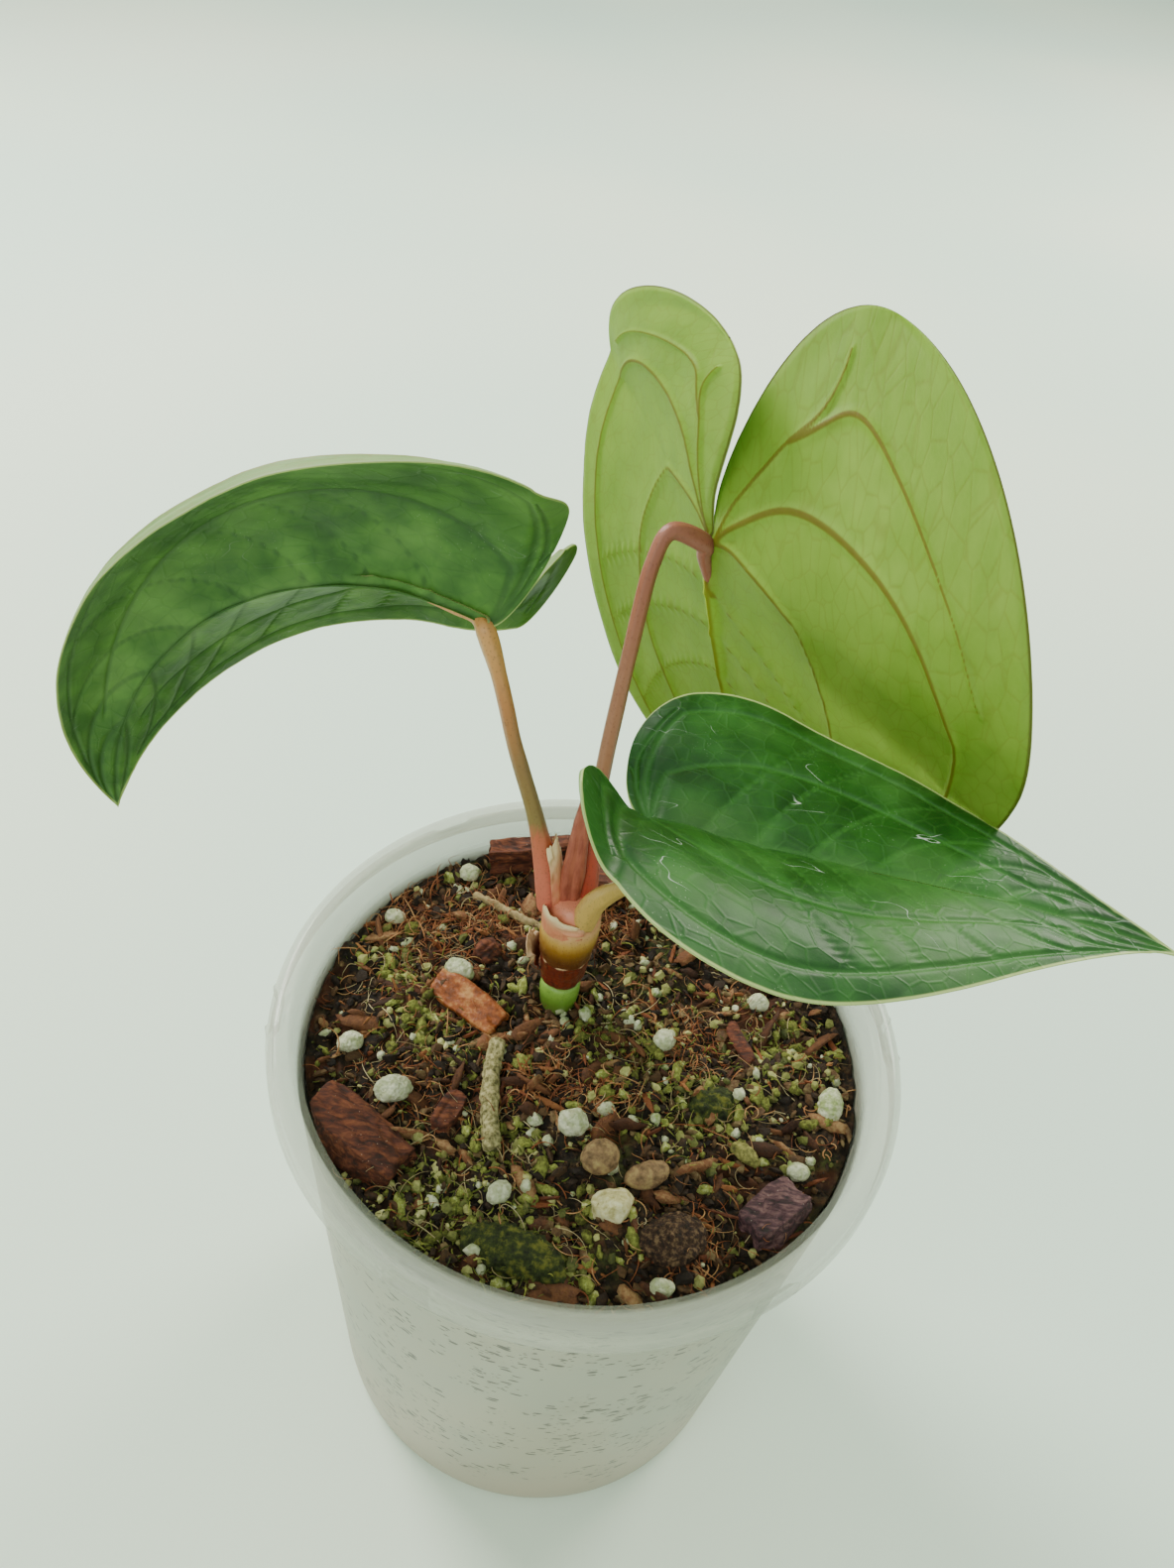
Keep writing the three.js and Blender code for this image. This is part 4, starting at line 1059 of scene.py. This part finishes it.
def make_litter(stuffs):
    """All the fine stuff on top of the mix."""
    for name, count, weight, margin, sizes, stuff, slot, making in LITTER_BITS:
        x, y = chosen(count, weight, margin) if weight else scattered(count, margin)
        make_bits(name, x, y, spread(len(x), *sizes), stuffs[stuff], slot, **making)
    for name, count, weight, margin, lengths, radii, stuff, slot, making in LITTER_STRANDS:
        x, y = chosen(count, weight, margin)
        make_strands(name, x, y, rng.uniform(*lengths, len(x)), rng.uniform(*radii, len(x)),
                     stuffs[stuff], slot, **making)


# ---- Loose pieces ----------------------------------------------------------------------------

def own_axes(points):
    """The points measured along their own long, middle and short directions."""
    centred = points - points.mean(0)
    _, _, axes = np.linalg.svd(centred[::7], full_matrices=False)
    return centred @ axes.T


def perlite_relief(points, seed):
    return 0.34 * np.abs(wander(points, 1.5, seed)) + 0.16 * np.abs(wander(points, 0.75, seed + 2)) - 0.16


def bark_relief(points, seed):
    fibre = own_axes(points) * [0.22, 1, 1]
    layers = wander(fibre, 2.4, seed)
    ledges = 0.35 * smoothstep(-0.1, 0.1, layers) + 0.25 * smoothstep(0.35, 0.5, layers)
    return ledges + 0.3 * rough(fibre, 1.3, 3, seed + 4) - 0.25


def pellet_relief(points, seed):
    cracks = smoothstep(0.06, 0.0, np.abs(wander(points, 3.1, seed + 3)))
    return 0.16 * rough(points, 2.4, 3, seed) - 0.12 * cracks


def stone_relief(points, seed):
    return 0.4 * rough(points, 2.6, 2, seed) + 0.16 * np.abs(wander(points, 0.9, seed + 5)) - 0.1


def tuft_relief(points, seed):
    return 0.6 * np.abs(wander(points, 1.6, seed)) + 0.45 * np.abs(wander(points, 0.7, seed + 3)) - 0.35


def stalk_relief(points, seed):
    fibre = own_axes(points) * [0.3, 1, 1]
    return 0.35 * np.abs(wander(fibre, 0.9, seed)) + 0.35 * np.abs(wander(points, 1.1, seed + 2)) - 0.2


# How each kind of loose piece is worked: the start of its node's name, then relief, stuff and slot.
LOOSE_KINDS = {
    "bark_chip_purple": (bark_relief, "purple_bark", "bark"), "bark": (bark_relief, "red_bark", "bark"),
    "nut": (bark_relief, "red_bark", "bark"), "olive": (stalk_relief, "olive", "bark"),
    "coir": (tuft_relief, "coir", "coir"), "cream": (stone_relief, "stone", "cream_stone"),
    "clay": (pellet_relief, "clay", "clay_pellet"), "moss": (tuft_relief, "moss_body", "moss"),
    "perlite": (perlite_relief, "perlite", "perlite"), "dry_stalk": (stalk_relief, "lichen", "dry_litter"),
    "dry_root": (stalk_relief, "straw", "dry_litter"), "root": (pellet_relief, "straw", "root"),
    "dead": (bark_relief, "dead", "dry_litter"),
}


def make_loose_piece(node, relief, material, seed):
    points, normals, faces = refined(node)
    points = points + normals * relief(points, seed)[:, None]
    keep_inside(points)
    tint = np.full(len(points), hashed(np.array([[seed, seed * 2.0, 3.0]]), 1)[0])
    return add_piece(node + "_form", points, faces, material, [node], {"tint": tint})


def loose_pieces(stuffs):
    """Every bark slab, stone, pellet and perlite lump gets its own worked surface."""
    for number, node in enumerate(sorted(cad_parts)):
        kind = next((kind for start, kind in LOOSE_KINDS.items() if node.startswith(start)), None)
        if kind:
            relief, stuff, slot = kind
            make_loose_piece(node, relief, stuffs[stuff], number + 1)


# ---- Stem, papery ring and crown ---------------------------------------------------------------

def upright(name, profile, material, slot, replaced, relief, sides=120, rows=90, torn=0.0, lean=(0, 0)):
    """A turned upright piece about the stem, worked with a relief; torn makes its top edge ragged."""
    outline = spline(profile, rows)
    turn = np.arange(sides) * 2 * math.pi / sides
    r = np.repeat(outline[:, :1], sides, axis=1)
    z = np.repeat(outline[:, 1:], sides, axis=1)
    low, high = outline[:, 1].min(), outline[:, 1].max()
    share = (z - low) / (high - low)
    rag = torn * wander(np.stack([np.cos(turn) * 5, np.sin(turn) * 5, 0 * turn], 1), 1.3, 5)
    z = z + rag * smoothstep(0.8, 1.0, share)
    points = np.stack([r * np.cos(turn), r * np.sin(turn), z], 2)
    flat = points.reshape(-1, 3)
    flat[:, :2] *= (1 + relief(flat) / np.maximum(np.hypot(flat[:, 0], flat[:, 1]), 1))[:, None]
    flat[:, 0] += STEM[0] + lean[0] * share.ravel() ** 2
    flat[:, 1] += STEM[1] + lean[1] * share.ravel() ** 2
    edge = smoothstep(0.9, 0.985, share).ravel()
    flat, faces, values, _ = weld(flat, grid_faces(rows, sides, closed=True), {"edge": edge})
    return add_piece(name, flat, faces, material, replaced, values)


def make_stem(skin):
    low, high = stem_low[2], stem_high[2]
    r = (stem_high[0] - stem_low[0]) / 2
    profile = [(0, low), (r * 0.5, low + 0.1), (r * 0.85, low + 5), (r * 0.9, high - 9), (r * 0.98, high - 4),
               (r * 0.97, high - 1.6), (r * 0.8, high - 0.3), (0, high)]
    return upright("green_stem", profile, skin, "green_stem", ["stem"], lambda p: 0.12 * rough(p, 3, 3, 4))


def make_ring(skin):
    low, high = ring_low[2], ring_high[2]
    r = (ring_high[0] - ring_low[0]) / 2
    profile = [(0, low), (r * 0.72, low + 0.1), (r * 0.86, low + 1.2), (r * 0.9, low + 3),
               (r * 0.98, low + 5.5), (r * 1.04, high - 0.7), (r * 1.0, high + 0.1), (r * 0.9, high - 0.5),
               (r * 0.8, high - 1.4), (0, high - 1.6)]
    return upright("papery_collar", profile, skin, "papery_bract", ["papery_ring"],
                   lambda p: 0.25 * wander(p * [1, 1, 0.3], 2.0, 3) + 0.1 * rough(p, 1.0, 2, 8), torn=0.7)


def make_crown(skin):
    low, high = crown_low[2] - 1.5, crown_high[2] + 1.5
    r = (crown_high[0] - crown_low[0]) / 2
    profile = [(0, low), (r * 0.8, low + 0.1), (r * 0.94, low + 2.5), (r * 1.02, low + 6),
               (r * 1.0, low + 9.5), (r * 0.88, high - 3), (r * 0.62, high - 0.8), (0, high)]
    return upright("crown_bulge", profile, skin, "crown_sheath", ["crown_sheath"],
                   lambda p: 0.14 * wander(p * [1, 1, 0.25], 2.4, 6) + 0.05 * rough(p, 1.2, 2, 9),
                   lean=(0.8, 0))


def make_membrane(name, course, width, turn_from, turn_to, material, seed):
    """A thin frilly sheath edge that stands off a petiole's foot."""
    steps, columns = 60, 26
    path = spline(course, steps)
    t = np.linspace(0, 1, steps)
    reach = np.interp(t, [0, 0.12, 0.55, 0.85, 1], width)
    angles = np.radians(np.linspace(turn_from, turn_to, columns))
    share = np.linspace(-1, 1, columns)
    shell = []
    for offset in (0.0, 0.16):
        rows = []
        for place, r, k in zip(path, reach, t):
            ring = np.stack([np.cos(angles), np.sin(angles), 0 * angles], 1)
            at = np.stack([share * 6, 0 * share + k * 14, 0 * share], 1)
            frill = 0.45 * wander(at, 1.5, seed) * share ** 2
            rows.append(place + ring * (r + frill + offset)[:, None])
        shell.append(np.array(rows))
    torn = np.abs(wander(np.stack([share * 5, 0 * share, 0 * share + seed], 1), 1.4, seed))
    top_trim = 1.6 * torn + 2.2 * share ** 2
    for layer in shell:
        layer[:, :, 2] -= top_trim * smoothstep(0.6, 1.0, t)[:, None]
    count = steps * columns
    points = np.vstack([layer.reshape(-1, 3) for layer in shell])
    front = grid_faces(steps, columns)
    back = [tuple(k + count for k in face[::-1]) for face in front]
    border = []
    loop = ([(0, j) for j in range(columns)] + [(i, columns - 1) for i in range(1, steps)]
            + [(steps - 1, j) for j in range(columns - 2, -1, -1)]
            + [(i, 0) for i in range(steps - 2, 0, -1)])
    for (i, j), (k, m) in zip(loop, loop[1:] + loop[:1]):
        a, b = i * columns + j, k * columns + m
        border.append((b, a, a + count, b + count))
    edge = np.repeat(smoothstep(0.35, 1.0, t), columns)
    return add_piece(name, points, front + back + border, material,
                     values={"edge": np.concatenate([edge, edge])})


def make_membranes(material, collar):
    """Thin sheath edges: one beside each of two feet, one about the crown, and a flared scale of the ring."""
    def climbing(foot, *rises):
        return [foot] + [foot + np.array(rise) for rise in rises]

    foot_left = np.array([-10.4, 10.4, PETIOLE_START - 3.5])
    foot_back = np.array([-4.6, 11.6, PETIOLE_START - 3.5])
    crown = np.array([*STEM, crown_low[2]])
    radius = (crown_high[0] - crown_low[0]) / 2
    make_membrane("cream_sheath_left",
                  climbing(foot_left, (-0.8, 0.1, 6), (-1.7, 0.2, 12.5), (-2.6, 0.3, 19)),
                  (1.8, 2.5, 2.5, 2.3, 2.0), -75, 55, material, 4)
    make_membrane("cream_sheath_back", climbing(foot_back, (0, 0.1, 4), (-0.1, 0.3, 8), (-0.2, 0.5, 12)),
                  (1.7, 2.3, 2.3, 2.1, 1.9), 150, 250, material, 7)
    make_membrane("crown_fringe", [crown + [0, 0, z] for z in (7, 9, 11, 14)],
                  radius * np.array([0.94, 0.98, 1.0, 1.0, 0.98]), 90, 300, material, 9)
    make_membrane("flared_scale", [crown + [0, 0, z] for z in (-5, -3, -1, 2)],
                  radius * np.array([0.9, 1.0, 1.12, 1.28, 1.4]), 150, 205, collar, 12)


def make_pointed_bract(material):
    """The slender pink-brown scale whose tip stands between the petioles."""
    low, high = box_mm("pointed_bract")
    centre = (low + high) / 2
    steps, sides = 90, 32
    t = np.linspace(0, 1, steps)[:, None]
    turn = np.arange(sides) * 2 * math.pi / sides
    z = low[2] + (high[2] - low[2]) * t[:, 0]
    path = np.stack([centre[0] + 0.3 * np.sin(t[:, 0] * 2), centre[1] + 0 * z, z], 1)
    body = np.interp(t, [0, 0.25, 0.7, 0.93, 1], [1.5, 1.75, 1.15, 0.4, 0.06])
    keel = 1 + 0.22 * np.cos(2 * turn) + 0.1 * np.cos(3 * turn + 1)
    points, faces = sweep(path, body * keel, sides)
    edge = np.concatenate([np.repeat(smoothstep(0.8, 1.0, t[:, 0]), sides), [0, 1]])
    return add_piece("pointed_scale", points, faces, material, ["pointed_bract"],
                     {"edge": edge})


# ---- Stage, light and camera -------------------------------------------------------------------

def area_light(name, place, aim, size, power, colour):
    light = bpy.data.lights.new(name, "AREA")
    light.shape = "DISK"
    light.size = size
    light.energy = power
    light.color = colour
    lamp = bpy.data.objects.new(name, light)
    lamp.location = place
    lamp.rotation_euler = (Vector(aim) - Vector(place)).to_track_quat("-Z", "Y").to_euler()
    bpy.context.scene.collection.objects.link(lamp)


def build_stage():
    """A wide pale floor, an even pale surround and soft light from the back left."""
    reach = 6.0
    mesh = bpy.data.meshes.new("pale_floor")
    corners = [(-reach, -reach, 0), (reach, -reach, 0), (reach, reach, 0), (-reach, reach, 0)]
    mesh.from_pydata(corners, [], [(0, 1, 2, 3)])
    mesh.materials.append(floor_paper())
    floor = bpy.data.objects.new("pale_floor", mesh)
    floor.location.z = -0.0002
    bpy.context.scene.collection.objects.link(floor)
    world = bpy.data.worlds.new("soft_surround")
    world.use_nodes = True
    surround = world.node_tree.nodes["Background"]
    surround.inputs["Color"].default_value = (0.80, 0.94, 0.84, 1)
    surround.inputs["Strength"].default_value = 0.9
    bpy.context.scene.world = world
    area_light("window_back_left", (-0.75, 0.62, 0.85), (0, 0, 0.12), 0.5, 17.0, (1.0, 0.97, 0.9))
    area_light("window_front_fill", (-0.5, -0.8, 0.9), (0, 0, 0.12), 0.9, 5.0, (0.96, 1.0, 0.94))
    area_light("backdrop_glow", (0.85, 1.0, 0.8), (0.6, 0.55, 0.0), 0.6, 16.0, (1.0, 0.96, 0.84))


CAMERA_PLACE = (-0.00729, -0.13881, 0.30867)
CAMERA_DIP = math.radians(43.343)
CAMERA_ROLL = math.radians(8.80)
CAMERA_LENS = 28.46


def place_camera():
    data = bpy.data.cameras.new("camera")
    data.sensor_width = 36
    data.lens = CAMERA_LENS
    data.clip_start = 0.01
    data.clip_end = 50
    camera = bpy.data.objects.new("camera", data)
    forward = Vector((0, math.cos(CAMERA_DIP), -math.sin(CAMERA_DIP)))
    level = Vector((1, 0, 0))
    lifted = level.cross(forward)
    right = level * math.cos(CAMERA_ROLL) + lifted * math.sin(CAMERA_ROLL)
    up = lifted * math.cos(CAMERA_ROLL) - level * math.sin(CAMERA_ROLL)
    turn = Matrix((right, up, -forward)).transposed()
    camera.matrix_world = Matrix.Translation(CAMERA_PLACE) @ turn.to_4x4()
    bpy.context.scene.collection.objects.link(camera)
    bpy.context.scene.camera = camera


# ---- Assembly --------------------------------------------------------------------------------

place_camera()
build_stage()

make_tub(milky_plastic())
make_mix(mix_earth())

STUFFS = {
    "crumbs": tinted("dark_crumbs", [(0.0, "0F0B08"), (0.45, "2E2117"), (0.75, "5A4028"), (1.0, "8C7A54")]),
    "rust": tinted("rusty_splinters", [(0.0, "3A1B10"), (0.5, "7A4226"), (1.0, "B07A48")], 0.8),
    "algae": tinted("algae_grains", [(0.0, "22280F"), (0.5, "74763C"), (0.85, "B4B070"), (1.0, "DCD6A4")]),
    "granule": tinted("olive_granule", [(0.0, "2A2413"), (0.35, "6A6C2E"), (0.7, "9AA04E"),
                                        (1.0, "D2D39A")], 0.95, 0.8, 0.6, shift=0.5),
    "brown_bits": tinted("brown_bark_bit", [(0.0, "1C110B"), (0.4, "4A2C1C"), (0.75, "7A4E31"),
                                            (1.0, "A98A5E")], 0.85, 1.1, 0.4),
    "perlite": perlite_foam(),
    "fibre": tinted("coir_fibre", [(0.0, "3A1C10"), (0.5, "93532F"), (1.0, "D0A570")], 0.75),
    "moss": tinted("moss_green", [(0.0, "232A0C"), (0.55, "66702A"), (1.0, "B0B052")], 0.8),
    "moss_body": tinted("moss_cushion", [(0.0, "12150A"), (0.5, "343C17"), (1.0, "6D6B2A")],
                        0.9, 1.6, 0.5, 1),
    "straw": tinted("pale_straw", [(0.0, "6E5A38"), (0.5, "A9946A"), (1.0, "D6C69C")], 0.75),
    "red_bark": bark_skin("red_bark", "22100B", "552A1B", "80492F", "C7A68A"),
    "purple_bark": bark_skin("purple_bark", "1E1214", "4C3036", "7D5C5A", "C3AFA2"),
    "olive": tinted("olive_bit", [(0.0, "3C3A1C"), (0.5, "77733A"), (1.0, "A99F5E")], 0.8, 1.2, 0.3, 1),
    "coir": tinted("coir_clod", [(0.0, "150E0A"), (0.5, "3E2A1E"), (1.0, "7C6247")], 0.92, 0.9, 0.5, 1),
    "stone": tinted("cream_mineral", [(0.0, "9C9058"), (0.45, "CBC08C"), (1.0, "E4DDB8")], 0.85, 1.4, 0.3, 1),
    "clay": tinted("fired_clay", [(0.0, "4E3B26"), (0.5, "86694A"), (1.0, "A8905F")], 0.85, 1.8, 0.25, 1),
    "lichen": tinted("lichen_crust", [(0.0, "4B4426"), (0.4, "8F8658"), (1.0, "CDBF8E")], 0.9, 0.8, 0.4, 1),
    "dead": tinted("dead_leaf_brown", [(0.0, "5A2D14"), (0.5, "8E4A20"), (1.0, "B98450")],
                   0.55, 2.2, 0.25, 1),
}
loose_pieces(STUFFS)
make_litter(STUFFS)

make_stem(stalk_skin("green_node", [(0.0, "5C6A2C"), (0.7, "6C9434"), (1.0, "88B048")], "58702A",
                     NODE_TOP - 10, NODE_TOP))
COLLAR = papery("red_papery", "7A2F1C", "471A12", "D9B48C", 0.3)
make_ring(COLLAR)
make_crown(stalk_skin("crown_tan", [(0.0, "5E3212"), (0.28, "9A6A1C"), (0.5, "C79A4C"), (0.75, "DCA876"),
                                    (1.0, "D98468")],
                      "8A5A34", crown_low[2], crown_high[2]))
make_membranes(papery("peach_membrane", "D98E68", "D07258", "EBD0A2", 0.35), COLLAR)
make_pointed_bract(papery("pink_scale", "B0604A", "8A3F30", "7A4A36", 0.4))

make_petiole("petiole_left", stalk_skin(
    "tan_stalk", [(0.0, "D4705A"), (0.16, "C4694A"), (0.24, "8A7440"), (0.55, "8E6B3E"),
                  (0.85, "B5743F"), (1.0, "C98F52")], "6F4A2C", PETIOLE_START, 197))
make_petiole("petiole_back", stalk_skin(
    "pink_stalk", [(0.0, "C4503C"), (0.2, "B5584A"), (0.4, "9E6848"), (0.75, "A0664A"),
                   (1.0, "9A5C48")], "6E3B2C", PETIOLE_START, 210))
make_petiole("petiole_front", stalk_skin(
    "olive_stalk", [(0.0, "CDA65C"), (0.4, "AA9148"), (0.8, "9C8A4C"), (1.0, "8E8A44")],
    "6E5A30", PETIOLE_START, 192))

# leaf_face's last argument, where given after minerals, is the share of painted sheen: paler green patches
# standing in for reflected light.
make_blade("leaf_left",
           leaf_face("mid_green_face", "21500F", "578A2E", "A3B866", "1E4A10", 0.6, 0.38, 0.15, 0.25),
           leaf_underside("grey_green_underside", "88AC64", "A6C080", "A98A5A", 0.5,
                          (0.20, 0.34, 0.06, 1.0), 0.22, "A9B884"), quilt=0.75, seed=1)
make_blade("leaf_back",
           leaf_face("back_green_face", "2C6420", "4E8630", "A5B66A", "7FA35A", 0.5, 0.36),
           leaf_underside("backlit_underside", "96B840", "B2D058", "85451F", 0.85,
                          (0.55, 0.80, 0.08, 1.0), 0.5, "6A4A30"), seed=2)
make_blade("leaf_front",
           leaf_face("dark_green_face", "12420F", "2C6B20", "B9CC7C", "3F7B30", 0.45, 0.3, 0.8, 0.12),
           leaf_underside("pale_underside", "6A964A", "88AE64", "9C7A4A", 0.5,
                          (0.20, 0.34, 0.06, 1.0), 0.22, "B9CC8C"), seed=3)
